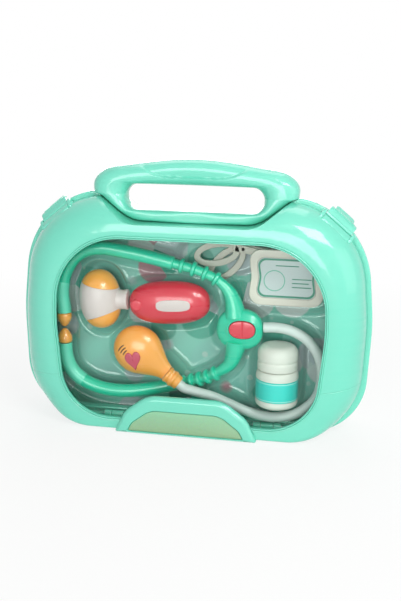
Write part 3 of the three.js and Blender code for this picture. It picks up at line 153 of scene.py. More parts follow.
world = bpy.data.worlds.new("white_studio")
bpy.context.scene.world = world
world.use_nodes = True
world.node_tree.nodes.clear()
walls = add(world.node_tree, "Background", None, {"Color": linear("#F4F8F7"), "Strength": 0.24})
backdrop = add(world.node_tree, "Background", None, {"Color": linear("#FFFFFF"), "Strength": 1.0})
either = add(world.node_tree, "MixShader", None, {
    0: seen_share(world.node_tree), 1: walls.outputs[0], 2: backdrop.outputs[0],
})
add(world.node_tree, "OutputWorld", None, {"Surface": either.outputs[0]})
bpy.context.scene.view_settings.view_transform = "Standard"

# Matt white studio sheet: it keeps a faint shadow round the case, and further off it fades into
# the white behind it.
floor_half, fade_start, fade_end = 9000 / 1000, 160 / 1000, 600 / 1000
floor_mesh = bpy.data.meshes.new("studio_floor")
floor_mesh.from_pydata([
    (-floor_half, -floor_half, 0), (floor_half, -floor_half, 0), (floor_half, floor_half, 0),
    (-floor_half, floor_half, 0),
], [], [(0, 1, 2, 3)])
show("studio_floor", floor_mesh)
floor_paper, tree = bare_material("matt_studio_sheet")
outwards = add(tree, "VectorMath", {"operation": "LENGTH"}, {0: add(tree, "TexCoord").outputs["Object"]})
fade = remap(tree, outwards.outputs["Value"], fade_start, fade_end, 0.8, 1.0)
lit = add(tree, "BsdfDiffuse", None, {"Color": linear("#F6F7F6")})
glow = add(tree, "Emission", None, {"Color": linear("#FFFFFF"), "Strength": 1.0})
both = add(tree, "MixShader", None, {
    0: reckon(tree, "MULTIPLY", seen_share(tree), fade), 1: lit.outputs[0], 2: glow.outputs[0],
})
add(tree, "OutputMaterial", None, {"Surface": both.outputs[0]})
floor_mesh.materials.append(floor_paper)


# Rear shell: one ABS moulding with a rounded bead round its mouth, a drafted side that rolls over
# into a flat back, posts that carry the card, and two knuckles for the steel hinge pins.
wall = 2.2
seam_y = -3.0
case_depth = 35.5
foot_round = 48
side_inset, back_round = 3.7, 12
bead_proud, bead_back = 2.2, 2.0
mouth_inset, lip_inset, lip_foot_round = 5.3, 4.7, 61
gutter_half, gutter_depth, gutter_height, gutter_ramp = 100, 4.2, 6.6, 1.2
scoop_top, scoop_round = 190.4, 3
border_inset, border_width, border_depth, border_edge = 26, 2.8, 0.7, 0.6
border_over_foot, border_under_scoop = 16, 13
back_middle = 80
post_half, post_front, post_back = 3.5, 12.4, 33.6
post_places = [(96.6, 128.52), (-96.6, 128.52), (112, 47.25), (-112, 47.25), (0, 13.99), (0, 156.87)]
hinge_x, hinge_z, knuckle_half = 62, 3, 5
web_foot, web_start, web_edge = 0.4, 1.6, 0.3
arc_steps = [26, 10, 40, 40, 10, 26]
edge_steps = [16, 12, 200, 12, 16, 160]


def both_sides(right_side):
    """An outline's corners (x, z, radius) on the right, followed by their mirror images back to the start."""
    right_side = np.array(right_side, float)
    left_side = right_side[::-1] * [-1, 1, 1]
    return np.vstack([right_side, left_side[left_side[:, 0] != 0]])


def unit(vectors):
    """Vectors divided by their length."""
    return vectors / np.linalg.norm(vectors, axis=-1, keepdims=True)


def offset_outline(corners, distance):
    """Every edge moves outwards by a distance.

    A corner goes by distance / (1 + cos turn) times the sum of its two edges' normals."""
    flat = corners[:, :2]
    arrive = unit(flat - np.roll(flat, 1, 0))
    leave = np.roll(arrive, -1, 0)
    share = distance / (1 + (arrive * leave).sum(1))
    side = arrive + leave
    moved = flat + share[:, None] * np.stack([side[:, 1], -side[:, 0]], 1)
    turn = arrive[:, 0] * leave[:, 1] - arrive[:, 1] * leave[:, 0]
    return np.column_stack([moved, np.maximum(corners[:, 2] + np.sign(turn) * distance, 0.5)])


def rounded_loop(corners, arcs, edges):
    """An outline with a circular fillet at each corner, smaller where two would overrun their edge.

    A fillet turns about the point one radius inside both edges. arcs and edges give the number of
    steps in each fillet, and in the straight run that follows it."""
    flat, radius = corners[:, :2], corners[:, 2]
    arrive = unit(flat - np.roll(flat, 1, 0))
    leave = np.roll(arrive, -1, 0)
    turn = np.arctan2(arrive[:, 0] * leave[:, 1] - arrive[:, 1] * leave[:, 0], (arrive * leave).sum(1))
    reach = radius * np.tan(abs(turn) / 2)
    length = np.linalg.norm(np.roll(flat, -1, 0) - flat, axis=1)
    fit = length / (reach + np.roll(reach, -1))
    fit = np.minimum(1, np.minimum(fit, np.roll(fit, 1)))
    start = flat - arrive * (reach * fit)[:, None]
    centre = start + (np.sign(turn) * radius * fit)[:, None] * np.stack([-arrive[:, 1], arrive[:, 0]], 1)
    pieces = []
    for k, (arc, edge) in enumerate(zip(arcs, edges)):
        angle = np.linspace(0, turn[k], arc + 1)
        spoke = start[k] - centre[k]
        sideways = [-spoke[1], spoke[0]]
        pieces.append(centre[k] + np.outer(np.cos(angle), spoke) + np.outer(np.sin(angle), sideways))
        along = np.linspace(0, 1, edge + 1)[1:-1, None]
        pieces.append(pieces[-1][-1] * (1 - along) + start[(k + 1) % len(flat)] * along)
    return np.concatenate(pieces)


case_outline = both_sides([[137, 0, foot_round], [140.3, 92, 200], [130.5, 189, 70]])
scoop_outline = both_sides([[50, 166, 26], [77.5, 188.2, 34], [140, scoop_top, 0.5], [140, 217, 0.5]])


def case_loop(inset, floor=0.0, foot_radius=foot_round):
    """The case's outline moved inwards, with its flat foot at a height of its own."""
    corners = offset_outline(case_outline, -inset)
    corners[[0, -1], 1] = floor
    corners[[0, -1], 2] += foot_radius - foot_round
    return rounded_loop(corners, arc_steps, edge_steps)


def scoop_height(x, outwards=0.0):
    """Height of the handle's scoop over a distance from the middle, read along the scoop's outline."""
    loop = rounded_loop(offset_outline(scoop_outline, outwards), [12] * 8, [3] * 8)
    right = loop[(loop[:, 0] >= 0) & (loop[:, 1] < scoop_top - 0.1)]
    right = right[np.argsort(right[:, 0])]
    return np.interp(abs(x), right[:, 0], right[:, 1])


def rim_ring(inset, floor, y, lift=0.0, lowered=0.0, outwards=0.0, foot_radius=foot_round):
    """One ring of the shell at a depth y, cut down to the scoop and, between the hinges, up to the gutter."""
    x, z = case_loop(inset, floor, foot_radius).T
    z = np.minimum(z, scoop_height(x, outwards) - lowered)
    near = np.clip((gutter_half + outwards + gutter_ramp / 2 - abs(x)) / gutter_ramp, 0, 1)
    z = np.maximum(z, lift * near)
    return np.stack([x, np.full_like(x, y), z], 1)


def with_rounds(stations, rounds, steps=4):
    """Rows that join each station's ring to the next, with some corners eased.

    At a station with a round, the path runs on a quadratic curve between the two points that lie
    that far along its straight runs, or 45% along them where they are short."""
    stations = np.asarray(stations, float)
    rows = []
    share = np.linspace(0, 1, steps + 1)[:, None, None]
    for k, size in enumerate(rounds):
        here = stations[k]
        if size == 0:
            rows.append(here[None])
            continue
        ends = []
        for other in (stations[k - 1], stations[(k + 1) % len(stations)]):
            run = np.maximum(np.linalg.norm(other - here, axis=1, keepdims=True), 1e-9)
            ends.append(here + (other - here) / run * np.minimum(size, 0.45 * run))
        rows.append((1 - share) ** 2 * ends[0] + 2 * share * (1 - share) * here + share ** 2 * ends[1])
    return np.concatenate(rows)


def skin(points, closed=False, middles=None):
    """Quads between the rows of a grid whose columns run round.

    The rows close too, or end in fans about two middles."""
    rows, columns = points.shape[:2]
    index = np.arange(rows * columns).reshape(rows, columns)
    lower = index if closed else index[:-1]
    upper = np.roll(index, -1, 0)[:len(lower)]
    quads = np.stack([lower, np.roll(lower, -1, 1), np.roll(upper, -1, 1), upper], -1).reshape(-1, 4)
    vertices = points.reshape(-1, 3)
    faces = quads.tolist()
    if not closed:
        if middles is None:
            middles = [points[0].mean(0), points[-1].mean(0)]
        vertices = np.vstack([vertices, middles])
        for row, middle in ((0, len(vertices) - 2), (-1, len(vertices) - 1)):
            ring = index[row] if row else index[row][::-1]
            faces += np.stack([ring, np.roll(ring, -1), np.full_like(ring, middle)], 1).tolist()
    return vertices, faces


def make_piece(name, skins, material, body, nodes=(), sharp=32):
    """One object from closed skins in millimetres: doubles merged, faces turned outwards, soft shading."""
    vertices = np.concatenate([skin_points for skin_points, _ in skins]) / 1000
    starts = np.cumsum([0] + [len(skin_points) for skin_points, _ in skins])
    faces = [
        [corner + start for corner in face] for (_, cells), start in zip(skins, starts) for face in cells
    ]
    mesh = bpy.data.meshes.new(name)
    mesh.from_pydata(vertices.tolist(), [], faces)
    work = bmesh.new()
    work.from_mesh(mesh)
    bmesh.ops.remove_doubles(work, verts=work.verts, dist=1e-6)
    bmesh.ops.dissolve_degenerate(work, edges=work.edges, dist=1e-7)
    bmesh.ops.recalc_face_normals(work, faces=work.faces)
    work.to_mesh(mesh)
    work.free()
    mesh.shade_smooth()
    mesh.set_sharp_from_angle(angle=math.radians(sharp))
    mesh.materials.append(material)
    piece = show(name, mesh)
    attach(piece, body)
    if nodes:
        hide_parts(*nodes)
    return piece


def rings(loop_at, levels):
    """One ring of points for each pair of an inset and a depth y: the loop at that inset, at that depth."""
    return np.array([np.insert(loop_at(inset), 1, y, axis=1) for inset, y in levels])


def slab(loop_at, y_front, y_back, front_edge, back_edge, steps=5):
    """A flat part whose rings come from loop_at(inset).

    At an angle a of the edge's quarter round, the ring is inset by round * (1 - cos a) and lies
    round * (1 - sin a) inside the face."""
    angle = np.linspace(math.pi / 2, 0, steps + 1)
    inset, deep = 1 - np.cos(angle), 1 - np.sin(angle)
    front = zip(front_edge * inset, y_front + front_edge * deep)
    back = zip(back_edge * inset[::-1], y_back - back_edge * deep[::-1])
    return skin(rings(loop_at, [*front, *back]))


def turned(profile, foot, axis, around=64, closed=False, flat=1.0):
    """A profile of (radius, height) spun about an axis from its foot, then flattened in Y by a share."""
    radius, height = np.asarray(profile, float).T
    axis = unit(np.asarray(axis, float))
    side = unit(np.cross(axis, [0, 1, 0] if abs(axis[1]) < 0.9 else [1, 0, 0]))
    other = np.cross(axis, side)
    angle = np.linspace(0, 2 * math.pi, around, endpoint=False)[:, None]
    spokes = np.cos(angle) * side + np.sin(angle) * other
    points = height[:, None, None] * axis + radius[:, None, None] * spokes
    points[..., 1] *= flat
    return skin(points + np.asarray(foot, float), closed)


def eased(profile, rounds, steps=5):
    """A profile of (radius, height) with its corners eased."""
    profile = np.asarray(profile, float)
    return with_rounds(profile[:, None], rounds, steps)[:, 0]


def block(low, high, edge=0.5):
    """A rectangular block between two corners, with eased edges."""
    (x0, y0, z0), (x1, y1, z1) = low, high
    corners = np.array([[x0, z0, edge], [x1, z0, edge], [x1, z1, edge], [x0, z1, edge]], float)

    def loop_at(inset):
        return rounded_loop(offset_outline(corners, -inset), [4] * 4, [1] * 4)

    return slab(loop_at, y0, y1, edge, edge, 3)


def knuckle(from_x, to_x, web_from, web_to, web_top):
    """A bored barrel about the hinge line, from one x to another, and the web that joins it to its shell."""
    bore, barrel, edge = 1.4, 2.9, 0.4
    ends = [[bore, from_x], [barrel, from_x], [barrel, to_x], [bore, to_x]]
    ring = turned(eased(ends, [0, edge, edge, 0]), (0, seam_y, hinge_z), (1, 0, 0), 40, closed=True)
    return [ring, block((from_x, web_from, web_foot), (to_x, web_to, web_top), web_edge)]


# Glossy ABS, injection moulded: it mirrors the softbox sharply but thinly, its mint drifts between
# two near tones, and the tool's polish leaves ripples of about 9 mm and a skin of under 1 mm.
mint_shades = "#6CD3BB", "#5ECBB2"
tone_patch, rub_mark = 70, 26


def noise(tree, place, size, detail, roughness=0.5):
    """A noise texture whose patches are about a size in millimetres."""
    return add(tree, "TexNoise", None, {
        "Vector": place, "Scale": 1000 / size, "Detail": detail, "Roughness": roughness,
    })


def blend(tree, share, first, second):
    """The colour that lies a share of the way from the first to the second."""
    return add(tree, "Mix", {"data_type": "RGBA"}, {0: share, 6: first, 7: second}).outputs[2]


def bump(tree, height, strength, depth, under=None, invert=False):
    """A normal bent by a height that spans a depth in millimetres, over the normal under it."""
    inputs = {"Height": height, "Strength": strength, "Distance": depth / 1000}
    if under is not None:
        inputs["Normal"] = under
    return add(tree, "Bump", {"invert": invert}, inputs).outputs[0]


def moulded_plastic(name, colour, deep, roughness, ripple=9.0, grain=0.8, strength=0.12, coat=0.0):
    """Moulded plastic: two tones drift into each other, gloss varies along rub marks, and ripples bend it.

    The coat is the skin that sets against the polished tool; it mirrors lamps sharply over the
    softer body."""
    material, tree = bare_material(name)
    place = add(tree, "TexCoord").outputs["Object"]
    drift = noise(tree, place, tone_patch, 3)
    stretch = add(tree, "Mapping", None, {"Vector": place, "Rotation": (0.3, 0.2, 0.6), "Scale": (1, 1, 7)})
    rubs = noise(tree, stretch.outputs[0], rub_mark, 6, 0.65)
    swell = bump(tree, noise(tree, place, ripple, 1).outputs["Fac"], strength, 1.2)
    fine = bump(tree, noise(tree, place, grain, 2).outputs["Fac"], strength * 0.6, 0.06, swell)
    surface = add(tree, "BsdfPrincipled", None, {
        "Base Color": blend(tree, drift.outputs["Fac"], linear(deep), linear(colour)),
        "Roughness": remap(tree, rubs.outputs["Fac"], 0.35, 0.75, roughness * 0.85, roughness * 1.5),
        "IOR": 1.6, "Normal": fine,
        "Coat Weight": coat, "Coat Roughness": 0.1, "Coat IOR": 1.5, "Coat Normal": swell,
    })
    add(tree, "OutputMaterial", None, {"Surface": surface.outputs[0]})
    return material


mint_abs = moulded_plastic("glossy_abs_mint", *mint_shades, 0.5, coat=1.0)


def rear_shell_skin():
    """Rings from the middle of the inner back, out to the mouth, over the bead and round to the outer back.

    Inside and outside, the edge of the back is a quarter circle: inset r (1 - cos a), depth
    r sin a. The back bears a shallow line that follows its border."""
    rows, rounds = [], []
    inner_round = back_round - wall
    for a in np.linspace(math.pi / 2, 0, 9):
        sink = 1 - math.cos(a)
        y = case_depth - wall - inner_round * (1 - math.sin(a))
        inset = side_inset + wall + inner_round * sink
        rows.append(rim_ring(inset, wall + bead_proud * sink, y, outwards=wall))
        rounds.append(0)
    lip = gutter_height + 1.5
    gutter_y = seam_y + gutter_depth
    rows += [
        rim_ring(mouth_inset, wall, gutter_y + wall + 0.05, outwards=wall),
        rim_ring(mouth_inset, wall, gutter_y + wall, lift=lip, outwards=wall),
        rim_ring(lip_inset, wall, seam_y + 0.3, lift=lip, outwards=wall, foot_radius=lip_foot_round),
        rim_ring(0, 0, seam_y, lift=gutter_height),
        rim_ring(0, 0, gutter_y, lift=gutter_height),
        rim_ring(0, 0, gutter_y + 0.02),
        rim_ring(0, 0, bead_back - 0.25),
        rim_ring(bead_proud, 0, bead_back),
    ]
    rounds += [0, 0, 0.4, 1.2, 0, 0, 1.0, 0.3]
    for a in np.linspace(0, math.pi / 2, 15):
        sink = 1 - math.cos(a)
        y = case_depth - back_round * (1 - math.sin(a))
        over = max(0.0, y - case_depth + scoop_round)
        lowered = scoop_round - math.sqrt(scoop_round ** 2 - over ** 2)
        rows.append(rim_ring(side_inset + back_round * sink, bead_proud * sink, y, lowered=lowered))
        rounds.append(0)
    for across, sunk in (
        (0, 0), (border_edge, border_depth), (border_width - border_edge, border_depth), (border_width, 0),
    ):
        foot, top = border_over_foot + across, border_under_scoop + across
        rows.append(rim_ring(border_inset + across, foot, case_depth - sunk, lowered=top))
        rounds.append(0.25 if across else 0)
    middles = [[0, case_depth - wall, back_middle], [0, case_depth, back_middle]]
    return skin(with_rounds(rows, rounds), middles=middles)


rear_skins = [rear_shell_skin()]
for x, z in post_places:
    low = x - post_half, post_front, z - post_half
    rear_skins.append(block(low, (x + post_half, post_back, z + post_half)))
for middle in (-hinge_x, hinge_x):
    rear_skins += knuckle(middle - knuckle_half, middle + knuckle_half, seam_y + web_start, 3.4, 2.4)
make_piece("rear_shell_moulding", rear_skins, mint_abs, "case", ["rear_shell"])


# Front cover: one ABS moulding that swells from the seam to the flat rim of the window, with the
# same scoop for the handle, a block for each latch and two pairs of knuckles at its foot.
cover_depth = 30
cover_inset, cover_foot_round = 4, 58
cover_seam_y = seam_y - 0.3
flat_rim, flat_rim_inside = 2.5, 3.6
side_power, foot_power = 2.1, 7
window_outline = both_sides([[100.5, 8, 42], [107.5, 88, 150], [104.5, 157.5, 54]])
knuckle_gap, cover_knuckle = 0.35, 6
relief_top, relief_depth = 7, 3.4
latch_turn = math.radians(50)
latch_foot = 110.36, 170.325
latch_out, latch_y = -3.0, -7.8
latch_half, seat_gap, lug_gap, lug_thick = 12.5, 0.2, 0.3, 2.8
seat_profile = [
    [-10.5, -15.4, 0.5], [-6.9, -15.4, 1.2], [-3.6, -10.9, 0.8], [-5.3, -9, 0.5], [-5.4, -3.6, 0.5],
    [-10, -3.6, 0.5],
]
lug_profile = [
    [-10, -14, 0.5], [-6.4, -14, 1.8], [-2.4, -9.8, 1.4], [-1.3, -7.8, 1.4], [-2.4, -3.6, 0.8],
    [-10, -3.6, 0.5],
]
parting_from, parting_pivot = 98, 105


def window_loop(outwards):
    """The window's outline moved outwards."""
    return rounded_loop(offset_outline(window_outline, outwards), arc_steps, edge_steps)


def dome_rows(seam, rim, depth, outwards, count):
    """Rows of the dome from the window's rim out to the seam or the scoop, and the foot of the scoop's wall.

    Out from the rim by a share u and forward by a share v of the depth, u = cos(a) to the 2/p and
    v = sin(a) to the 2/p. The power p is 2.1 on the sides and 7 along the flat foot. Where the
    path would rise into the scoop it ends there, and a wall runs straight back to the seam."""
    tangent = unit(np.roll(seam, -1, 0) - np.roll(seam, 1, 0))
    power = side_power + (foot_power - side_power) * np.maximum(0, tangent[:, 0]) ** 8

    def path(a):
        out = np.maximum(np.cos(a), 0) ** (2 / power)
        forward = np.maximum(np.sin(a), 0) ** (2 / power)
        x = rim[:, 0] + (seam[:, 0] - rim[:, 0]) * out
        z = rim[:, 1] + (seam[:, 1] - rim[:, 1]) * out
        return np.stack([x, cover_seam_y - depth * forward, z], -1)

    trial = np.linspace(math.pi / 2, 0, 700)[:, None]
    over = path(trial)
    over = over[..., 2] - scoop_height(over[..., 0], outwards)
    cut = np.argmax(over > 0, 0)
    column = np.arange(len(seam))
    before = np.maximum(cut - 1, 0)
    gain = over[cut, column] - over[before, column]
    share = np.where(cut > 0, -over[before, column] / np.where(gain == 0, 1, gain), 0)
    end = np.where(cut > 0, trial[before, 0] + share * (trial[cut, 0] - trial[before, 0]), 0)
    fall = np.linspace(0, 1, count)[:, None]
    rows = path(math.pi / 2 + fall * (end - math.pi / 2))
    foot = rows[-1].copy()
    foot[:, 1] = cover_seam_y
    return rows, foot


def front_cover_skin():
    """Rows from the lip of the window over the dome and the scoop's wall to the seam, and back inside.

    Beside the hinge's fixed knuckles the foot stands back from them."""
    depth = cover_depth + cover_seam_y
    seam = case_loop(cover_inset, 0, cover_foot_round)
    seam_inside = case_loop(cover_inset + wall, wall, cover_foot_round)
    outer, outer_foot = dome_rows(seam, window_loop(flat_rim), depth, 0, 40)
    inner, inner_foot = dome_rows(seam_inside, window_loop(flat_rim_inside), depth - wall, wall, 24)
    lip = rings(window_loop, [(0, wall - cover_depth), (0, -cover_depth)])
    rounds = [0.3, 0.4] + [0] * (len(outer) - 1) + [1.1, 0.5, 0.4] + [0] * len(inner)
    grid = with_rounds([*lip, *outer, outer_foot, inner_foot, *inner[::-1]], rounds)
    x, y, z = grid.transpose(2, 0, 1)
    by_hinge = (abs(abs(x) - hinge_x) < knuckle_half + knuckle_gap) & (z < relief_top)
    grid[..., 1] = np.where(by_hinge, np.minimum(y, seam_y - relief_depth), y)
    return skin(grid, closed=True)


def latch_frame(side):
    """Axes out of the rim, along Y and along the shoulder, and the point of the rim that they start from."""
    out = np.array([side * math.cos(latch_turn), 0, math.sin(latch_turn)])
    axes = np.array([out, [0, 1, 0], np.cross(out, [0, 1, 0])])
    start = np.array([side * latch_foot[0], 0, latch_foot[1]]) - latch_out * out
    return axes, start


def on_shoulder(side, made):
    """A skin drawn with X out of the rim, Z along Y and Y along the shoulder, set in its place."""
    points, cells = made
    axes, start = latch_frame(side)
    return points[:, [0, 2, 1]] @ axes + start, cells


def latch_prism(side, profile, start, end, edge):
    """A profile in (out, Y) with rounds, carried along the shoulder from one distance to another."""
    corners = np.array(profile, float)
    count = len(corners)

    def loop_at(inset):
        return rounded_loop(offset_outline(corners, -inset), [5] * count, [1] * count)

    return on_shoulder(side, slab(loop_at, start, end, edge, edge, 4))


cover_skins = [front_cover_skin()]
for side in (-1, 1):
    seat_half = latch_half + seat_gap
    cover_skins.append(latch_prism(side, seat_profile, -seat_half, seat_half, 0.2))
    for end in (-1, 1):
        low, high = sorted((end * (latch_half + lug_gap), end * (latch_half + lug_gap + lug_thick)))
        cover_skins.append(latch_prism(side, lug_profile, low, high, 0.5))
    near = knuckle_half + knuckle_gap
    for start in (near, -near - cover_knuckle):
        from_x = side * hinge_x + start
        cover_skins += knuckle(from_x, from_x + cover_knuckle, seam_y - 6.4, seam_y - web_start, 2.6)


def score_parting_lines(material):
    """Two witness lines of the mould, 0.5 mm wide, one across either side of the frame.

    Each is where height = foot + slope * (|x| - 105 mm), on its own side and beyond |x| = 98 mm."""
    tree = material.node_tree
    shader = next(node for node in tree.nodes if node.type == "BSDF_PRINCIPLED")
    place = add(tree, "SeparateXYZ", None, {"Vector": add(tree, "TexCoord").outputs["Object"]}).outputs
    out = reckon(tree, "ABSOLUTE", place["X"])
    far = reckon(tree, "GREATER_THAN", out, parting_from / 1000)
    for compare, foot, slope in (("LESS_THAN", 43.0, -0.042), ("GREATER_THAN", 43.2, 0.177)):
        own_side = reckon(tree, compare, place["X"], 0.0)
        rise = reckon(tree, "MULTIPLY_ADD", out, slope, (foot - parting_pivot * slope) / 1000)
        away = reckon(tree, "ABSOLUTE", reckon(tree, "SUBTRACT", place["Z"], rise))
        line = add(tree, "MapRange", {"interpolation_type": "SMOOTHSTEP"}, {
            "Value": away, "From Min": 0.1 / 1000, "From Max": 0.4 / 1000, "To Min": 1.0, "To Max": 0.0,
        })
        mask = reckon(tree, "MULTIPLY", reckon(tree, "MULTIPLY", own_side, far), line.outputs[0])
        for socket in ("Normal", "Coat Normal"):
            before = shader.inputs[socket].links[0].from_socket
            tree.links.new(bump(tree, mask, 0.7, 0.3, before, invert=True), shader.inputs[socket])


cover_abs = moulded_plastic("glossy_abs_cover_mint", *mint_shades, 0.5, coat=1.0)
score_parting_lines(cover_abs)
make_piece("front_cover_moulding", cover_skins, cover_abs, "cover", ["front_cover"])


# Window bezel: a thin ABS trim pressed into the window, with a rounded main ridge, a narrow
# groove that stays dark, and a lower second ridge towards the pane.
bezel_gap, bezel_width, bezel_sink = 0.03, 2.6, 0.05
ridge_foot, ridge_rise, groove_depth, low_ridge_rise = 0.35, 0.55, 0.4, 0.6
trim_abs = moulded_plastic("glossy_abs_trim_mint", *mint_shades, 0.4, coat=1.0)


def arch(count):
    """Heights along a half circle of radius 1."""
    return np.sqrt(np.maximum(1 - np.linspace(-1, 1, count) ** 2, 0))


def bezel_skin():
    """Across its width the trim has two arched ridges, with a groove 0.4 mm deep between them."""
    across = np.concatenate([np.linspace(0, 0.5, 12), [0.52, 0.62], np.linspace(0.64, 1, 9)])
    proud = np.concatenate([
        ridge_foot + ridge_rise * arch(12), [-groove_depth, -groove_depth], low_ridge_rise * arch(9),
    ])
    outer, inner = window_loop(-bezel_gap), window_loop(-bezel_width)

    def loop_at(share):
        return outer * (1 - share) + inner * share

    back_y = wall - cover_depth
    levels = [*zip(across, bezel_sink - cover_depth - proud), (1, back_y), (0, back_y)]
    return skin(rings(loop_at, levels), closed=True)


make_piece("window_bezel_trim", [bezel_skin()], trim_abs, "cover", ["window_bezel"], sharp=50)


# Window pane: 1.5 mm clear sheet behind the cover's lip. It lets nearly everything through and
# mirrors the softbox faintly, with the slight waviness of cut sheet.
most_mirrored = 0.12


def clear_sheet(name, tint, edge_tint, roughness, ior, wave, strength, haze=0.0):
    """Clear sheet: a Fresnel share of each ray is mirrored, and the rest goes on through a faint tint.

    Where the sheet is seen edge on, a share of it, the haze, scatters like whitened plastic."""
    material, tree = bare_material(name)
    waves = noise(tree, add(tree, "TexCoord").outputs["Object"], wave, 2)
    swell = bump(tree, waves.outputs["Fac"], strength, 2)
    facing = add(tree, "LayerWeight", None, {"Blend": 0.35}).outputs["Facing"]
    tone = blend(tree, facing, linear(tint), linear(edge_tint))
    through = add(tree, "BsdfTransparent", None, {"Color": tone})
    mirror = add(tree, "BsdfGlossy", None, {
        "Color": linear("#FFFFFF"), "Roughness": roughness, "Normal": swell,
    })
    share = add(tree, "Fresnel", None, {"IOR": ior, "Normal": swell})
    capped = reckon(tree, "MINIMUM", share.outputs[0], most_mirrored)
    both = add(tree, "MixShader", None, {0: capped, 1: through.outputs[0], 2: mirror.outputs[0]})
    veil = reckon(tree, "MULTIPLY", reckon(tree, "POWER", facing, 2.0), haze)
    scatter = add(tree, "BsdfDiffuse", None, {"Color": linear("#F2FBF8"), "Normal": swell})
    hazed = add(tree, "MixShader", None, {0: veil, 1: both.outputs[0], 2: scatter.outputs[0]})
    add(tree, "OutputMaterial", None, {"Surface": hazed.outputs[0]})
    return material


def dress(node, material):
    """Gives a CAD node the material in place of its own."""
    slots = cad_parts[node].data.materials
    slots.clear()
    slots.append(material)


dress("window_pane", clear_sheet("clear_cut_sheet", "#FDFFFE", "#F0FAF7", 0.04, 1.2, 60, 0.1))


# Plate and label: a D-shaped ABS boss over the foot of the window, with a rolled edge and a
# shallow recess that takes a printed olive label. The label is left bare.
plate_outline = both_sides([[57, 0, 1.2], [48.5, 18, 18], [30, 32, 24]])
plate_arcs, plate_edges = [5, 20, 24, 24, 20, 5], [14, 8, 40, 8, 14, 60]
recess_y, skirt_y, foot_skirt_y = -33.4, -31.1, -26
label_inset, label_drop = 7, 4.8


def plate_loop(inset):
    """The plate's outline moved inwards."""
    return rounded_loop(offset_outline(plate_outline, -inset), plate_arcs, plate_edges)


def label_loop(inset):
    """The label's outline: the plate's, 7 mm in, let down so that its foot lies near the plate's foot."""
    return plate_loop(label_inset + inset) - [0, label_drop]


def plate_skin():
    """Rows from the back of the skirt over the rolled edge to the face, and down into the label's recess.

    Along its foot the skirt reaches further back, where the cover falls away."""
    edge = plate_loop(0)
    back = np.insert(edge, 1, np.where(edge[:, 1] > 5, skirt_y, foot_skirt_y), axis=1)
    side = rings(plate_loop, [(0, recess_y), (2.4, -case_depth)])
    recess = rings(label_loop, [(-0.6, -case_depth), (0.2, recess_y)])
    middles = [[0, skirt_y, 12], [0, recess_y, 12]]
    return skin(with_rounds([back, *side, *recess], [0, 1.6, 1.2, 0.5, 0], 6), middles=middles)


make_piece("base_plate_boss", [plate_skin()], mint_abs, "cover", ["base_plate"])


def finish_print(tree, colour, grain, strength, roughness, ior):
    """The last nodes of a printed sheet: its colour under a coating that a grain lifts by up to 0.1 mm."""
    surface = add(tree, "BsdfPrincipled", None, {
        "Base Color": colour, "Roughness": roughness, "IOR": ior, "Normal": bump(tree, grain, strength, 0.1),
    })
    add(tree, "OutputMaterial", None, {"Surface": surface.outputs[0]})


# Printed polyester label: satin, olive green that turns fresher towards its top, with the faint
# mottle of screen printing at about 1.5 mm.
label_print, tree = bare_material("satin_printed_label")
place = add(tree, "TexCoord").outputs["Object"]
mottle = noise(tree, place, 1.5, 3)
height = add(tree, "SeparateXYZ", None, {"Vector": place}).outputs["Z"]
upwards = remap(tree, height, 3 / 1000, 22 / 1000, 0.0, 1.0)
ink = add(tree, "Mix", {"data_type": "RGBA", "blend_type": "OVERLAY"}, {
    0: 0.12, 6: blend(tree, upwards, linear("#8FB08A"), linear("#86BF9A")), 7: mottle.outputs["Color"],
})
finish_print(tree, ink.outputs[2], mottle.outputs["Fac"], 0.1, 0.36, 1.5)
label_skin = slab(lambda inset: label_loop(0.3 + inset), -34.3, -33.6, 0.12, 0.12, 3)
make_piece("foot_label", [label_skin], label_print, "cover", ["name_label"])


# Carry handle: a loop of two ABS halves seated in the scoop and held by two screws from inside.
# Its grip has a long lens-shaped hollow in front, with a crisp lower edge that fades upwards.
handle_outline = both_sides([
    [49.9, 165.9, 26], [75, 185.8, 20], [79.8, 187.1, 1], [80.7, 196, 12], [71.5, 206.2, 26], [0, 216.4, 200],
])
slot_outline = both_sides([[53.5, 175.3, 9.4], [53.5, 194.2, 9.4]])
handle_arcs, handle_edges = [16, 8, 6, 16, 24, 40, 24, 16, 6, 8, 16], [20, 4, 6, 8, 20, 20, 8, 6, 4, 20, 60]
handle_middle, handle_half = 184.75, 12.5
grip_power, seat_power = 2.4, 8.4
crease_height, crease_climb, crease_level = 200.7, 6.7, 20
hollow_depth, hollow_half, hollow_top = 2.2, 43, 213.5


def squared(share, power):
    """A sine or cosine brought to a superellipse's: its size to the 2 / power, with its sign."""
    return np.sign(share) * abs(share) ** (2 / power)


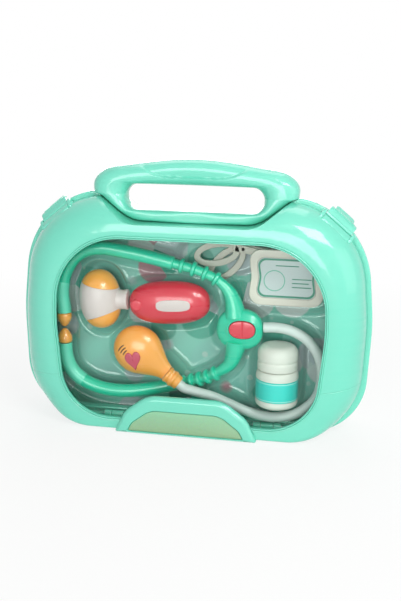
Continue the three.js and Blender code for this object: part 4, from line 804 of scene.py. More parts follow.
def handle_skin():
    """A ring about the finger slot: at each angle a superellipse spans from the slot to the outline.

    Its power is 2.4 on top and grows to 8.4 in the seat. The hollow moves the front back by up to
    2.2 mm above a crease that is level at z = 200.7 in the middle and reaches 207.4 where x is
    40, and less the higher a point lies. The angles lie closer at either end, where the outline
    turns sharply."""
    coarse, fine = np.linspace(-math.pi, math.pi, 400, endpoint=False), np.linspace(-0.05, 0.05, 61)
    angle = np.concatenate([coarse, fine, fine[fine < 0] + math.pi, fine[fine > 0] - math.pi])
    angle = np.unique(angle.round(5))

    def reach_of(corners, arcs, edges):
        loop = rounded_loop(corners, arcs, edges) - [0, handle_middle]
        bearing = np.arctan2(loop[:, 1], loop[:, 0])
        order = np.argsort(bearing)
        return np.interp(angle, bearing[order], np.hypot(*loop[order].T), period=2 * math.pi)

    far = reach_of(handle_outline, handle_arcs, handle_edges)
    near = reach_of(slot_outline, [24] * 4, [30, 90, 30, 90])
    power = grip_power + (seat_power - grip_power) * np.maximum(0, -np.sin(angle)) ** 2
    turn = np.linspace(0, 2 * math.pi, 112, endpoint=False)[:, None]
    deep = squared(np.sin(turn), power)
    reach = (far + near) / 2 + (far - near) / 2 * squared(np.cos(turn), power)
    x = reach * np.cos(angle)
    z = handle_middle + reach * np.sin(angle)
    crease = crease_height + crease_climb * np.clip((abs(x) - crease_level) / 20, 0, 1.2) ** 2
    lens = np.clip(1 - (x / hollow_half) ** 4, 0, 1)
    above = np.clip((z - crease + 0.5) / 1.1, 0, 1)
    fade = np.clip((hollow_top - z) / (hollow_top - crease), 0, 1)
    hollow = hollow_depth * np.sqrt(lens) * above * fade * np.clip(-deep * 3, 0, 1)
    points = np.stack([x, handle_half * deep + hollow, z], -1).transpose(1, 0, 2)
    return skin(points, closed=True)


make_piece("carry_handle_loop", [handle_skin()], mint_abs, "case", ["carry_handle"], sharp=50)


# Snap latches: each is a curved ABS flap that turns on a steel pin in the cover's lugs and snaps
# over the bead with its lip.
lip_half, lip_round, flap_end, flap_power = 9.0, 3, 0.8, 7
taper_from, taper_run = 11.5, 2.5
frame_half, frame_from, frame_to, frame_corner = 9.6, 6.9, 11.2, 1.4
barrel_bore, barrel_radius, barrel_edge = 1.15, 1.7, 0.3


def smooth(share):
    """A share s eased at both ends: s squared (3 - 2 s)."""
    return share * share * (3 - 2 * share)


def latch_skins(side):
    """A strap along a bent midline, 2 mm thick, with a raised frame and the bored barrel for its pin.

    The strap's half width narrows to the lip. Each of its cross-sections is a superellipse of
    power 7, and the last 3 mm of the lip draw in on a quarter circle."""
    midline = eased([[-3.4, -8.2], [1.9, -4.1], [2.0, 3.4], [4.2, 9.0]], [0, 2.4, 2.6, 0], 10)
    travelled = np.insert(np.cumsum(np.linalg.norm(np.diff(midline, axis=0), axis=1)), 0, 0)
    length = travelled[-1]
    at_lip = length - lip_round * (1 - np.linspace(0, 1, 10)) ** 2
    at = np.unique(np.concatenate([np.linspace(0, length, 40), at_lip]))
    centre = np.stack([np.interp(at, travelled, midline[:, i]) for i in (0, 1)], 1)
    tangent = unit(np.gradient(centre, at, axis=0))
    normal = np.stack([tangent[:, 1], -tangent[:, 0]], 1)
    left = length - at
    half = latch_half - (latch_half - lip_half) * smooth(np.clip((at - taper_from) / taper_run, 0, 1))
    drawn_in = lip_round - np.sqrt(np.maximum(lip_round ** 2 - (lip_round - left) ** 2, 0))
    half -= np.where(left < lip_round, drawn_in, 0)
    thick = np.where(left < flap_end, np.sqrt(np.maximum(1 - (1 - left / flap_end) ** 2, 0.02)), 1)
    turn = np.linspace(0, 2 * math.pi, 56, endpoint=False)
    wide, deep = squared(np.cos(turn), flap_power), squared(np.sin(turn), flap_power)
    flat = centre[:, None] + (thick[:, None] * deep)[..., None] * normal[:, None]
    strap = np.stack([flat[..., 0], half[:, None] * wide, flat[..., 1]], -1)

    window = np.array([
        [-frame_half, frame_from, frame_corner], [frame_half, frame_from, frame_corner],
        [frame_half, frame_to, frame_corner], [-frame_half, frame_to, frame_corner],
    ])
    raised = []
    for inset, lift in ((0, 0.6), (0.1, 1.45), (1.3, 1.45), (1.4, 0.6)):
        along, way = rounded_loop(offset_outline(window, -inset), [5] * 4, [16, 4, 16, 4]).T
        out, y = (np.interp(way, at, centre[:, i] + lift * normal[:, i]) for i in (0, 1))
        raised.append(np.stack([out, along, y], 1))
    ends = [
        [barrel_bore, -latch_half], [barrel_radius, -latch_half], [barrel_radius, latch_half],
        [barrel_bore, latch_half],
    ]
    profile = eased(ends, [0, barrel_edge, barrel_edge, 0])
    barrel = turned(profile, (latch_out, 0, latch_y), (0, 1, 0), 36, closed=True)
    return [on_shoulder(side, made) for made in (skin(strap), skin(np.array(raised), closed=True), barrel)]


for name, side in (("left", -1), ("right", 1)):
    make_piece(f"latch_flap_{name}", latch_skins(side), mint_abs, f"{name}_latch",
               [f"latch_{name}"])


# Pins and screws: drawn steel wire and turned screws, with fine scratches along their length that
# stretch each highlight. They keep the shape of the frame.
drawn_steel, tree = bare_material("drawn_steel_wire")
along = add(tree, "Mapping", None, {
    "Vector": add(tree, "TexCoord").outputs["Object"], "Scale": (0.08, 1, 1),
})
scratches = noise(tree, along.outputs[0], 0.35, 4)
surface = add(tree, "BsdfPrincipled", None, {
    "Base Color": linear("#B4B5B8"), "Metallic": 1.0,
    "Roughness": remap(tree, scratches.outputs["Fac"], 0.3, 0.7, 0.22, 0.42),
})
add(tree, "OutputMaterial", None, {"Surface": surface.outputs[0]})
for name in ("handle_screw", "latch_pin", "hinge_pin"):
    for side in ("left", "right"):
        dress(f"{name}_{side}", drawn_steel)


# Insert card: coated board behind the tray, printed in teal with a generic pattern of soft
# patches and dots. The coating keeps a slight sheen, and the ink has a fine 0.6 mm dither.
ground_size, patch_size, dot_size, dither_size = 95, 30, 17, 0.6
card_print, tree = bare_material("coated_board_print")
flat = add(tree, "Mapping", None, {
    "Vector": add(tree, "TexCoord").outputs["Object"], "Scale": (1, 0, 1), "Location": (0.061, 0, 0.033),
}).outputs[0]
ground = blend(tree, noise(tree, flat, ground_size, 1).outputs["Fac"], linear("#5CC9B2"), linear("#A4E2D4"))
patches = add(tree, "TexVoronoi", {"feature": "F1"}, {
    "Vector": flat, "Scale": 1000 / patch_size, "Randomness": 0.95,
}).outputs
inks = add(tree, "ValToRGB", None, {0: add(tree, "SeparateColor", None, {0: patches["Color"]}).outputs[0]})
inks.color_ramp.interpolation = "CONSTANT"
stops = inks.color_ramp.elements
stops[0].color = linear("#38B096")
stops[1].color = linear("#C98592")
for share, code in (
    (0.22, "#C4CFD4"), (0.4, "#8ED6C8"), (0.54, "#DEE4E3"), (0.7, "#4E7C76"), (0.84, "#C47A8B"),
):
    stops.new(share).color = linear(code)
patch_share = remap(tree, patches["Distance"], 0.5, 0.54, 0.9, 0.0)
patched = blend(tree, patch_share, ground, inks.outputs[0])
dots = add(tree, "TexVoronoi", {"feature": "F1"}, {
    "Vector": flat, "Scale": 1000 / dot_size, "Randomness": 0.3,
})
dot_share = remap(tree, dots.outputs["Distance"], 0.13, 0.16, 0.55, 0.0)
dotted = blend(tree, dot_share, patched, linear("#D5E6DF"))
finish_print(tree, dotted, noise(tree, flat, dither_size, 2).outputs["Fac"], 0.08, 0.55, 1.45)
dress("insert_card", card_print)


# Blister tray: clear PET sheet, vacuum formed to a pocket round each tool. Only its steep walls
# and rolled rims show, as bright lines; the flat floors are almost invisible.
upper_route = np.array([
    [-105.7, -6, 88.4], [-105.9, -6, 93], [-107.2, -6, 101], [-106.8, -6, 110.8], [-103.6, -6, 122.5],
    [-95.8, -6, 134.4], [-85, -6, 141], [-72.6, -6, 142.8], [-57.1, -6, 141.1], [-38.5, -6, 138.1],
    [-11.3, -6, 132.3], [4.7, -6, 128.3], [20.6, -6, 121.2], [29.5, -6, 111.6], [33, -6, 101.6],
    [34.2, -6, 93.5],
])
lower_route = np.array([
    [-105.7, -6, 63], [-105.6, -6, 58.5], [-104.6, -6, 50], [-101.2, -6, 41.6], [-96.2, -6, 35.5],
    [-88.6, -6, 30.4], [-79.2, -6, 26.8], [-69, -6, 25], [-55.4, -5.8, 24.7], [-40.4, -3.4, 26],
    [-28.3, -0.6, 28], [-17.4, 1, 30.6], [-7, 1, 33.6], [4, -1.2, 37.2], [14, -4, 41.9],
    [24.6, -6, 48.5], [30.9, -6, 54.6], [34.4, -6, 65.4],
    [35.2, -6, 73.5],
])
hose_route = np.array([
    [56.8, -6, 86], [66.4, -6, 86.5], [76.5, -6, 85.2], [84.4, -6, 82.1], [90.8, -6, 78],
    [96.5, -6, 71.9], [100.8, -6, 64.1], [103.4, -6, 51.1], [102.1, -6, 36.9], [98.6, -6, 29.1],
    [92.6, -6, 22.3], [85.7, -6, 17], [77.1, -6.2, 13.6], [65.3, -7, 12.4], [47.6, -8.4, 15.6],
    [29.9, -10.4, 22.8], [18.6, -11.4, 27.4], [8.1, -12, 30.0], [-0.6, -12, 31.9],
    [-4.51, -12, 32.87], [-11.5, -12, 38.13],
])
hub_place = np.array([38.0, 83.5])
bulb_place = np.array([-43.5, 62.5])
hammer_place = np.array([-18.0, 102.1])
head_place = np.array([-74.6, 102.0])
bottle_place = np.array([68.9, 23.6])
badge_place = np.array([72.8, 125.2])
rivet_place = np.array([38.0, 146.0])
ear_tip_x = -105.7
chest_tilt, hammer_tilt, head_tilt = -37, 3.5, 6
arm_pocket, hose_pocket, pocketed_hose = 6.2, 4.4, 17
flange_y, wall_run, wall_reach = -4.0, 4.8, 5.4
lip_height, lip_reach, lip_width = 0.7, 6.4, 1.1
sheet_foot, sheet_top, sheet_inset, sheet_floor = 5.2, 161.0, 2.4, 2
sheet_thickness = 0.4


def smooth_route(points, count):
    """Centripetal Catmull-Rom curve through the points, at even distances.

    Between two points it is the cubic whose end slopes come from the divided differences of the
    neighbours, where each step counts as the square root of its length."""
    line = np.vstack([2 * points[0] - points[1], points, 2 * points[-1] - points[-2]])
    p0, p1, p2, p3 = line[:-3], line[1:-2], line[2:-1], line[3:]
    step = np.sqrt(np.linalg.norm(np.diff(line, axis=0), axis=1))[:, None]
    d0, d1, d2 = step[:-2], step[1:-1], step[2:]
    leave = ((p1 - p0) / d0 - (p2 - p0) / (d0 + d1) + (p2 - p1) / d1) * d1
    arrive = ((p2 - p1) / d1 - (p3 - p1) / (d1 + d2) + (p3 - p2) / d2) * d1
    t = np.linspace(0, 1, 40, endpoint=False)[:, None, None]
    bend = -3 * p1 + 3 * p2 - 2 * leave - arrive
    twist = 2 * p1 - 2 * p2 + leave + arrive
    dense = (p1 + leave * t + bend * t ** 2 + twist * t ** 3).transpose(1, 0, 2).reshape(-1, 3)
    dense = np.vstack([dense, points[-1]])
    travelled = np.concatenate([[0], np.cumsum(np.linalg.norm(np.diff(dense, axis=0), axis=1))])
    at = np.linspace(0, travelled[-1], count)
    return np.stack([np.interp(at, travelled, dense[:, i]) for i in range(3)], 1), at


def off_route(x, z, route, radius):
    """Distance from each point of the sheet to a bar of that radius along a route."""
    line = smooth_route(route, 70)[0][:, [0, 2]]
    start, run = line[:-1], np.diff(line, axis=0)
    dx, dz = x[..., None] - start[:, 0], z[..., None] - start[:, 1]
    share = np.clip((dx * run[:, 0] + dz * run[:, 1]) / (run ** 2).sum(1), 0, 1)
    return np.hypot(dx - share * run[:, 0], dz - share * run[:, 1]).min(-1) - radius


def tilted(x, z, degrees):
    """A place turned about the origin, from X towards Z."""
    c, s = math.cos(math.radians(degrees)), math.sin(math.radians(degrees))
    return x * c - z * s, x * s + z * c


chest_axis = np.insert(tilted(1, 0, chest_tilt), 1, 0)


def off_oval(x, z, place, half_x, half_z, degrees=0.0, power=2.0):
    """Distance outside a tilted superellipse, near enough for a pocket.

    It is the place's excess share times the oval's smaller half."""
    u, v = tilted(x - place[0], z - place[1], -degrees)
    return ((abs(u / half_x) ** power + abs(v / half_z) ** power) ** (1 / power) - 1) * min(half_x, half_z)


def tray_skin_height(x, z):
    """Depth y of the sheet: its flange sinks into each pocket by a smooth step, with a rolled lip round it.

    Each pocket is a distance from its edge and the depth of its floor."""
    nozzle_middle = bulb_place + chest_axis[[0, 2]] * 22
    pockets = [
        (off_route(x, z, upper_route, arm_pocket), 0.6),
        (off_route(x, z, lower_route, arm_pocket), 2.5),
        (off_route(x, z, hose_route[:pocketed_hose], hose_pocket), -1.2),
        (off_oval(x, z, [ear_tip_x, 75.7], 7, 14), 1.0),
        (off_oval(x, z, hub_place, 19, 17, 0, 2.6), 2.4),
        (off_oval(x, z, bulb_place, 20.2, 20.2), 2.4),
        (off_oval(x, z, nozzle_middle, 26, 11, chest_tilt), 2.4),
        (off_oval(x, z, hammer_place, 33, 18, hammer_tilt, 2.5), 4.8),
        (off_oval(x, z, head_place, 17.4, 24.6, head_tilt, 2.2), 9.2),
        (off_oval(x, z, hammer_place + [-38, 0.3], 8, 9.5), 2.4),
        (off_oval(x, z, bottle_place + [0, 25.1], 18.0, 26.6, 0, 6), 9.4),
        (off_oval(x, z, badge_place, 31, 23, 0, 5), 1.0),
        (off_oval(x, z, rivet_place - [16, 5], 30, 16, 16, 3), 5.4),
    ]
    depth = np.full_like(x, flange_y)
    for away, floor in pockets:
        step = np.clip((wall_reach - away) / wall_run, 0, 1)
        depth = np.maximum(depth, flange_y + (floor - flange_y) * smooth(step))
    nearest = np.min([away for away, _ in pockets], 0)
    return depth - lip_height * np.exp(-((nearest - lip_reach) / lip_width) ** 2)


def tray_mesh():
    """A grid that fills the lining: rows at even heights, each as wide as the lining is there."""
    lining = case_loop(side_inset + wall + sheet_inset, wall + sheet_floor)
    right = lining[lining[:, 0] > 0]
    right = right[np.argsort(right[:, 1])]
    up = np.linspace(sheet_foot, sheet_top, 170)
    x = np.interp(up, right[:, 1], right[:, 0])[:, None] * np.linspace(-1, 1, 240)
    z = np.broadcast_to(up[:, None], x.shape)
    points = np.stack([x, tray_skin_height(x, z), z], -1).reshape(-1, 3)
    index = np.arange(x.size).reshape(x.shape)
    quads = np.stack([index[:-1, :-1], index[:-1, 1:], index[1:, 1:], index[1:, :-1]], -1).reshape(-1, 4)
    mesh = bpy.data.meshes.new("blister_tray_sheet")
    mesh.from_pydata((points / 1000).tolist(), [], quads.tolist())
    mesh.shade_smooth()
    return mesh


tray = show("blister_tray_sheet", tray_mesh())
tray.data.materials.append(
    clear_sheet("vacuum_formed_pet", "#FEFFFF", "#F6FCFA", 0.12, 1.45, 22, 0.25, haze=0.16))
thickness = tray.modifiers.new("sheet", "SOLIDIFY")
thickness.thickness = sheet_thickness / 1000
thickness.offset = 1
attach(tray, "case")
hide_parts("blister_tray")


# Stethoscope headset: two soft ABS arms with plain sleeves, four moulded ribs each on a thinner
# core, and orange ear tips pushed on their ends.
arm_radius, core_radius, rib_radius, root_radius = 5.5, 3.9, 6.1, 8.8
rib_width = 3.4
end_run, end_round = 1.2, 0.9
sleeve_thick, sleeve_edge = 0.35, 1.5
tip_radius, tip_length = 6.1, 11.6
headset_plastic = moulded_plastic("satin_mint_headset", "#24D0AC", "#14C29C", 0.3, coat=0.5)
sleeve_plastic = moulded_plastic("satin_mint_sleeve", "#66DEC2", "#58D5B7", 0.34, coat=0.3)
orange_plastic = moulded_plastic("glossy_orange_plastic", "#FCAF50", "#F89D3A", 0.3, coat=0.6)


def tube(centres, radii, around=36, middles=None):
    """Circles round a route: each lies across the route's tangent, with its first spoke across Y."""
    tangent = unit(np.gradient(centres, axis=0))
    across = unit(np.cross(tangent, [0, 1, 0]))
    up = np.cross(across, tangent)
    angle = np.linspace(0, 2 * math.pi, around, endpoint=False)[:, None]
    spokes = np.cos(angle) * across[:, None] + np.sin(angle) * up[:, None]
    return skin(centres[:, None] + np.asarray(radii)[:, None, None] * spokes, middles=middles)


def arm_skin(route, pitch, lead):
    """The arm's radius is 5.5 up to its ribs, where a core of 3.9 carries ribs of 6.1.

    The ribs start at a lead before the arm's end, a pitch apart, and from the last one the arm
    swells to 8.8 at the hub."""
    centres, at = smooth_route(route, 420)
    into = lead - (at[-1] - at)
    on_pitch = (into / pitch - 0.5) % 1 * pitch
    on_rib = (into > pitch * 0.5) & (into < pitch * 4.5) & (on_pitch < rib_width)
    bulge = np.sqrt(np.clip(1 - ((on_pitch - rib_width / 2) / (rib_width / 2)) ** 4, 0, 1))
    radius = np.where(on_rib, core_radius + (rib_radius - core_radius) * bulge, core_radius)
    swell = np.clip((into - pitch * 4) / (lead - pitch * 4), 0, 1) ** 1.2
    radius = np.where(into > pitch * 3.95, core_radius + (root_radius - core_radius) * swell, radius)
    edge = np.clip((into + end_run) / end_run, 0, 1)
    return tube(centres, np.where(into < 0, arm_radius - end_round * edge ** 2, radius))


def sleeve_skin(route, share):
    """A thin sleeve over the first part of an arm, 0.35 mm thick, with a rounded end."""
    centres, at = smooth_route(route, 420)
    covered = at < share * at[-1]
    left = share * at[-1] - at[covered]
    return tube(centres[covered], arm_radius + sleeve_thick * np.sqrt(np.clip(left / sleeve_edge, 0, 1)))


def ear_tip_skin(z, up):
    """A soft cone: a rolled foot, a swelling to 6.1 mm, and a rounded nose 11.6 mm from the foot."""
    shares = [[0, 0], [0.86, 0], [1, 0.14], [0.97, 0.42], [0.74, 0.66], [0.46, 0.88], [0.24, 0.985], [0, 1.0]]
    profile = np.array(shares) * [tip_radius, tip_length]
    rounds = [0, 0.6, 1.6, 2.2, 2.0, 1.2, 0.8, 0]
    return turned(eased(profile, rounds, 6), (ear_tip_x, -6, z), (0, 0, up), 40)


for end, node, route, pitch, lead in (
    ("top", "upper", upper_route, 9.6, 70.2), ("bottom", "lower", lower_route, 7.6, 63.1),
):
    make_piece(f"headset_arm_{end}", [arm_skin(route, pitch, lead)], headset_plastic, "case",
               [f"headset_arm_{node}"])
for end, route, share in (("top", upper_route, 0.13), ("bottom", lower_route, 0.2)):
    make_piece(f"arm_sleeve_{end}", [sleeve_skin(route, share)], sleeve_plastic, "case")
for end, node, z, up in (("top", "upper", 88.1, -1), ("bottom", "lower", 63.3, 1)):
    make_piece(f"ear_tip_{end}", [ear_tip_skin(z, up)], orange_plastic, "case",
               [f"ear_tip_{node}"])


# Hub and its button: a pebble-shaped housing with a raised round in front, which frames a red
# oval push button with a groove across its middle.
hub_half = np.array([18.4, 16.4])
hub_y, hub_deep, hub_power, hub_outline_power = -6, 7.6, 2.6, 2.4
hub_least_share, hub_open_share = 0.3, 0.72
button_place = hub_place + [2.6, 1.3]
button_half, button_power = np.array([10.2, 6.9]), 2.3
dome_y, dome_rise, groove_width, groove_sink = -14.3, 0.5, 0.4, 0.45


def oval_loop(place, half_x, half_z, power=2.0, count=72, degrees=0.0):
    """A superellipse: x = a |cos t| to the 2/p, z = b |sin t| to the 2/p, tilted about its middle."""
    t = np.linspace(0, 2 * math.pi, count, endpoint=False)
    x, z = tilted(half_x * squared(np.cos(t), power), half_z * squared(np.sin(t), power), degrees)
    return np.stack([place[0] + x, place[1] + z], 1)


def hub_skin():
    """Rows from back to front: ovals on a superellipse lens, then a raised round, a ledge and the recess.

    Towards the front the ovals drift from the hub's middle to the button's, and they stop at 72%
    of its size."""
    rows = []
    for a in np.linspace(math.pi / 2, -math.pi / 2, 33):
        deep = squared(math.sin(a), hub_power)
        share = max(squared(max(math.cos(a), 0), hub_power), hub_least_share)
        if deep < 0 and share < hub_open_share:
            continue
        place = hub_place + (button_place - hub_place) * max(0, -deep) ** 2
        oval = oval_loop(place, *(hub_half * share), hub_outline_power)
        rows.append(np.insert(oval, 1, hub_y + hub_deep * deep, axis=1))
    for half_x, half_z, y in (
        (12.0, 8.8, -13.1), (11.4, 8.1, -13.6), (10.9, 7.6, -13.6), (10.6, 7.3, -13.2), (10.6, 7.3, -9.2),
    ):
        rows.append(np.insert(oval_loop(button_place, half_x, half_z, button_power), 1, y, axis=1))
    return skin(np.array(rows))


def button_skin():
    """An oval cap: its dome is 0.5 mm high, with a groove 0.45 mm deep down its middle."""
    def loop_at(share):
        return oval_loop(button_place, *(button_half * share), button_power, 120)

    dome = np.linspace(0.92, 0.04, 22)
    levels = [(1.0, -10.6), (1.0, -13.9), (0.985, -14.15), (0.95, dome_y)]
    grid = rings(loop_at, [*levels, *zip(dome, dome_y - dome_rise * (1 - dome ** 2))])
    groove = groove_sink * np.exp(-((grid[..., 0] - button_place[0]) / groove_width) ** 2)
    grid[..., 1] += np.where(grid[..., 1] < dome_y + 0.1, groove, 0)
    return skin(grid)


red_plastic = moulded_plastic("glossy_red_plastic", "#DE1C3C", "#D21432", 0.3, coat=0.8)
make_piece("hub_housing", [hub_skin()], headset_plastic, "case", ["stethoscope_hub"])
make_piece("hub_push_cap", [button_skin()], red_plastic, "hub_push_button", ["hub_button"])


# Hose: soft white PVC tube, held in the hub at one end and in the chest piece's collar at the
# other. Matt skin with a faint length-wise draw.
hose_radius = 4.0
soft_pvc = moulded_plastic("soft_white_pvc", "#D6DFDD", "#CCD6D4", 0.42, ripple=14, grain=0.5, strength=0.2)
hose_centres, _ = smooth_route(hose_route, 360)
hose_skin = tube(hose_centres, np.full(len(hose_centres), hose_radius), 32)
make_piece("hose_tube", [hose_skin], soft_pvc, "case", ["stethoscope_hose"])


# Chest piece: an orange pear, flattened front to back, whose collar grips the hose. A pink heart
# is its push button, and three short arcs are printed beside it.
pear_y, pear_flat, pear_radius = -10.5, 0.62, 19.6
neck_length, neck_radius, neck_swell = 30, 6.9, 1.2
collar_y, collar_reach = -12, 30.3
collar_root = np.array([bulb_place[0], collar_y, bulb_place[1]]) + collar_reach * chest_axis
heart_half, heart_tilt = (6.2, 8.2), 13
heart_place = bulb_place - [0.6, 5.1]
heart_face_y, heart_dome = -23.9, 0.3


def pear_neck(s):
    """The neck's radius at a share s of its length: it eases down, and a half turn's sine swells it."""
    return pear_radius + (neck_radius - pear_radius) * smooth(s) + neck_swell * np.sin(math.pi * s)


def pear_profile():
    """A half circle of 19.6 mm, then the neck over 30 mm."""
    a = np.linspace(-math.pi / 2, 0, 24)
    half = np.stack([pear_radius * np.cos(a), pear_radius * np.sin(a)], 1)
    s = np.linspace(0, 1, 26)[1:]
    neck = np.stack([pear_neck(s), neck_length * s], 1)
    return np.vstack([half, neck, [[0, neck_length]]])


pear_skin = turned(pear_profile(), (bulb_place[0], pear_y, bulb_place[1]), chest_axis, 72, flat=pear_flat)
make_piece("chest_pear", [pear_skin], orange_plastic, "case", ["chest_bulb"])
collar = eased([
    [0, 0], [6.4, 0], [6.9, 1.6], [6.2, 3.0], [6.2, 4.6], [6.9, 6.0], [6.9, 7.2], [6.0, 8.6], [5.7, 12.5],
    [4.2, 12.5], [4.2, 9.5], [0, 9.5],
], [0, 0.5, 0.6, 0.6, 0.6, 0.6, 0.6, 0.6, 0.4, 0.3, 0, 0])
make_piece("chest_collar", [turned(collar, collar_root, chest_axis, 48)], orange_plastic, "case",
           ["chest_nozzle"])


def heart_loop(grow):
    """A heart: x = a sin(t) cubed, and z = b times a sum of cosines of t, 2 t, 3 t and 4 t; then tilted."""
    t = np.linspace(0, 2 * math.pi, 96, endpoint=False)
    x = (heart_half[0] + grow) * np.sin(t) ** 3
    waves = 0.8125 * np.cos(t) - 0.3125 * np.cos(2 * t) - 0.125 * np.cos(3 * t) - 0.0625 * np.cos(4 * t)
    return np.stack(tilted(x, (heart_half[1] + grow) * waves, heart_tilt), 1) + heart_place


def heart_skin():
    """Rows up the heart's side and over its edge, then inwards over a dome 0.3 mm high."""
    middle = heart_loop(0).mean(0)
    inwards = np.linspace(0.8, 0.1, 8)
    side = rings(heart_loop, [(0, -19.4), (0, -23.5), (-0.25, -23.75), (-0.9, heart_face_y)])
    dome = rings(lambda share: (heart_loop(0) - middle) * share + middle,
                 zip(inwards, heart_face_y - heart_dome * (1 - inwards)))
    return skin(np.concatenate([side, dome]))


heart_plastic = moulded_plastic("satin_pink_plastic", "#C94460", "#B93854", 0.34)
make_piece("heart_push_cap", [heart_skin()], heart_plastic, "heart_push_button",
           ["heart_button"])

# Printed ink: three short dark arcs beside the heart, laid 0.45 mm proud on the pear's skin.
arcs_place = bulb_place - [3.0, 3.6]
arcs_bearing, arc_radius = 141, 0.45
dark_ink = moulded_plastic("printed_dark_ink", "#4A3A2C", "#3E3024", 0.5)


def pear_front(x, z):
    """Depth of the pear's front over a place: its radius at that height, at right angles to its axis."""
    along, side = tilted(x - bulb_place[0], z - bulb_place[1], -chest_tilt)
    round_end = np.sqrt(np.maximum(pear_radius ** 2 - along ** 2, 0))
    radius = np.where(along < 0, round_end, pear_neck(np.clip(along / neck_length, 0, 1)))
    return pear_y - pear_flat * np.sqrt(np.maximum(radius ** 2 - side ** 2, 0))


def arc_skin(reach, sweep):
    """A strip 0.9 mm wide along an arc about the heart's upper left, from rounded end to rounded end."""
    bearing = math.radians(arcs_bearing) + np.linspace(-sweep, sweep, 24)
    x = arcs_place[0] + reach * np.cos(bearing)
    z = arcs_place[1] + reach * np.sin(bearing)
    ends = np.sqrt(np.clip(1 - np.linspace(-1, 1, 24) ** 8, 0.02, 1))
    return tube(np.stack([x, pear_front(x, z), z], 1), arc_radius * ends, 12)


arc_skins = [arc_skin(reach, sweep) for reach, sweep in ((6.2, 0.45), (8.6, 0.42), (11.0, 0.36))]
make_piece("chest_arcs", arc_skins, dark_ink, "case")


# Reflex hammer: a red egg-shaped handle with a bare white patch, a round boss and a white neck;
# its barrel head is a white band between two soft orange caps.
tool_y = -8
egg_long, egg_high, egg_deep, egg_power = 32.3, 17.3, 12, 2.5
patch_half_x, patch_half_z, patch_power, patch_shift, patch_lift = 13.5, 4.6, 3, 4.8, 0.28
boss_foot, neck_foot = (-43.0, -14.2, 100.6), (-54.6, tool_y, 102.4)
head_radius, head_half, head_power = 16.6, 23.8, 2.2
band_half, band_bow, cap_gap, cap_end = 12, 4, 0.15, 23.75
white_plastic = moulded_plastic("satin_white_plastic", "#DACBCA", "#D2C2C2", 0.36)
hammer_axis = np.insert(tilted(1, 0, hammer_tilt), 1, 0)
hammer_up = np.insert(tilted(0, 1, hammer_tilt), 1, 0)
hammer_middle = np.array([hammer_place[0], tool_y, hammer_place[1]])
head_axis = np.insert(tilted(0, 1, head_tilt), 1, 0)
head_middle = np.array([head_place[0], tool_y, head_place[1]])
head_turn = np.linspace(0, 2 * math.pi, 72, endpoint=False)


def barrel(share, power):
    """A barrel's radius at a share h of its half length: (1 - |h| to the p) to the 1/p."""
    return np.maximum(1 - abs(share) ** power, 0) ** (1 / power)


def egg_skin():
    """Along its length the egg's section is an ellipse 17.3 by 12 mm times a barrel of power 2.5."""
    h = np.sin(np.linspace(-math.pi / 2, math.pi / 2, 60))[:, None, None]
    turn = head_turn[:, None]
    section = egg_high * np.sin(turn) * hammer_up + egg_deep * np.cos(turn) * np.array([0, 1, 0])
    return skin(hammer_middle + egg_long * h * hammer_axis + barrel(h, egg_power) * section)


def egg_front(x, z):
    """Depth of the egg's front over a place."""
    along, side = tilted(x - hammer_place[0], z - hammer_place[1], -hammer_tilt)
    across = barrel(along / egg_long, egg_power) ** 2 - (side / egg_high) ** 2
    return tool_y - egg_deep * np.sqrt(np.maximum(across, 0))


def patch_skin():
    """The patch follows the egg: its face lies 0.28 mm over it and rolls down at the rim."""
    place = hammer_place + patch_shift * hammer_axis[[0, 2]]
    edge = [(1.0, -0.8), (1.0, 0.1), (0.985, 0.22)]
    rows = []
    for share, proud in edge + [(share, patch_lift) for share in (0.95, 0.8, 0.6, 0.4, 0.2, 0.05)]:
        loop = oval_loop(place, patch_half_x * share, patch_half_z * share, patch_power, 96, hammer_tilt)
        rows.append(np.insert(loop, 1, egg_front(loop[:, 0], loop[:, 1]) - proud, axis=1))
    return skin(np.array(rows))


make_piece("hammer_grip", [egg_skin()], red_plastic, "case", ["hammer_handle"])
make_piece("hammer_bare_patch", [patch_skin()], white_plastic, "case", ["hammer_patch"])
boss = eased([[0, 0], [4.9, 0], [4.6, 3.6], [3.6, 4.5], [0, 4.5]], [0, 0.4, 1.2, 1.0, 0])
boss_skin = turned(boss, boss_foot, (0, -1, 0), 40)
make_piece("hammer_round_boss", [boss_skin], red_plastic, "case", ["hammer_boss"])
neck = eased([[0, -7.5], [8.6, -7.5], [7.6, -2], [8.2, 2.6], [7.4, 3.2], [0, 3.2]], [0, 1, 3, 0.8, 0.5, 0])
neck_skin = turned(neck, neck_foot, hammer_axis, 48)
make_piece("hammer_white_neck", [neck_skin], white_plastic, "case", ["hammer_neck"])


def head_grid(heights):
    """Points of the head at each height and angle, closed by a middle on the axis at either end.

    The spokes start towards the grip."""
    side = np.cross([0, 1, 0], head_axis)
    radius = head_radius * barrel(heights / head_half, head_power)
    spokes = np.cos(head_turn)[:, None] * side + np.sin(head_turn)[:, None] * np.array([0, 1, 0])
    points = head_middle + heights[..., None] * head_axis + radius[..., None] * spokes
    return skin(points, middles=[head_middle + heights[k].mean() * head_axis for k in (0, -1)])


def band_edge(gap):
    """Height where the band ends: 12 mm, less 4 mm times the cosine of the angle from the grip's side."""
    return band_half + gap - band_bow * np.cos(head_turn)


band_heights = np.linspace(-1, 1, 27)[:, None] * band_edge(0)
make_piece("hammer_head_band", [head_grid(band_heights)], white_plastic, "case",
           ["hammer_head"])
rise = np.sin(np.linspace(0, math.pi / 2, 22))[:, None]
cap_heights = band_edge(cap_gap) + (cap_end - band_edge(cap_gap)) * rise
for node, sign in (("top", 1), ("bottom", -1)):
    make_piece(f"hammer_soft_cap_{node}", [head_grid(sign * cap_heights)], orange_plastic, "case",
               [f"hammer_cap_{node}"])


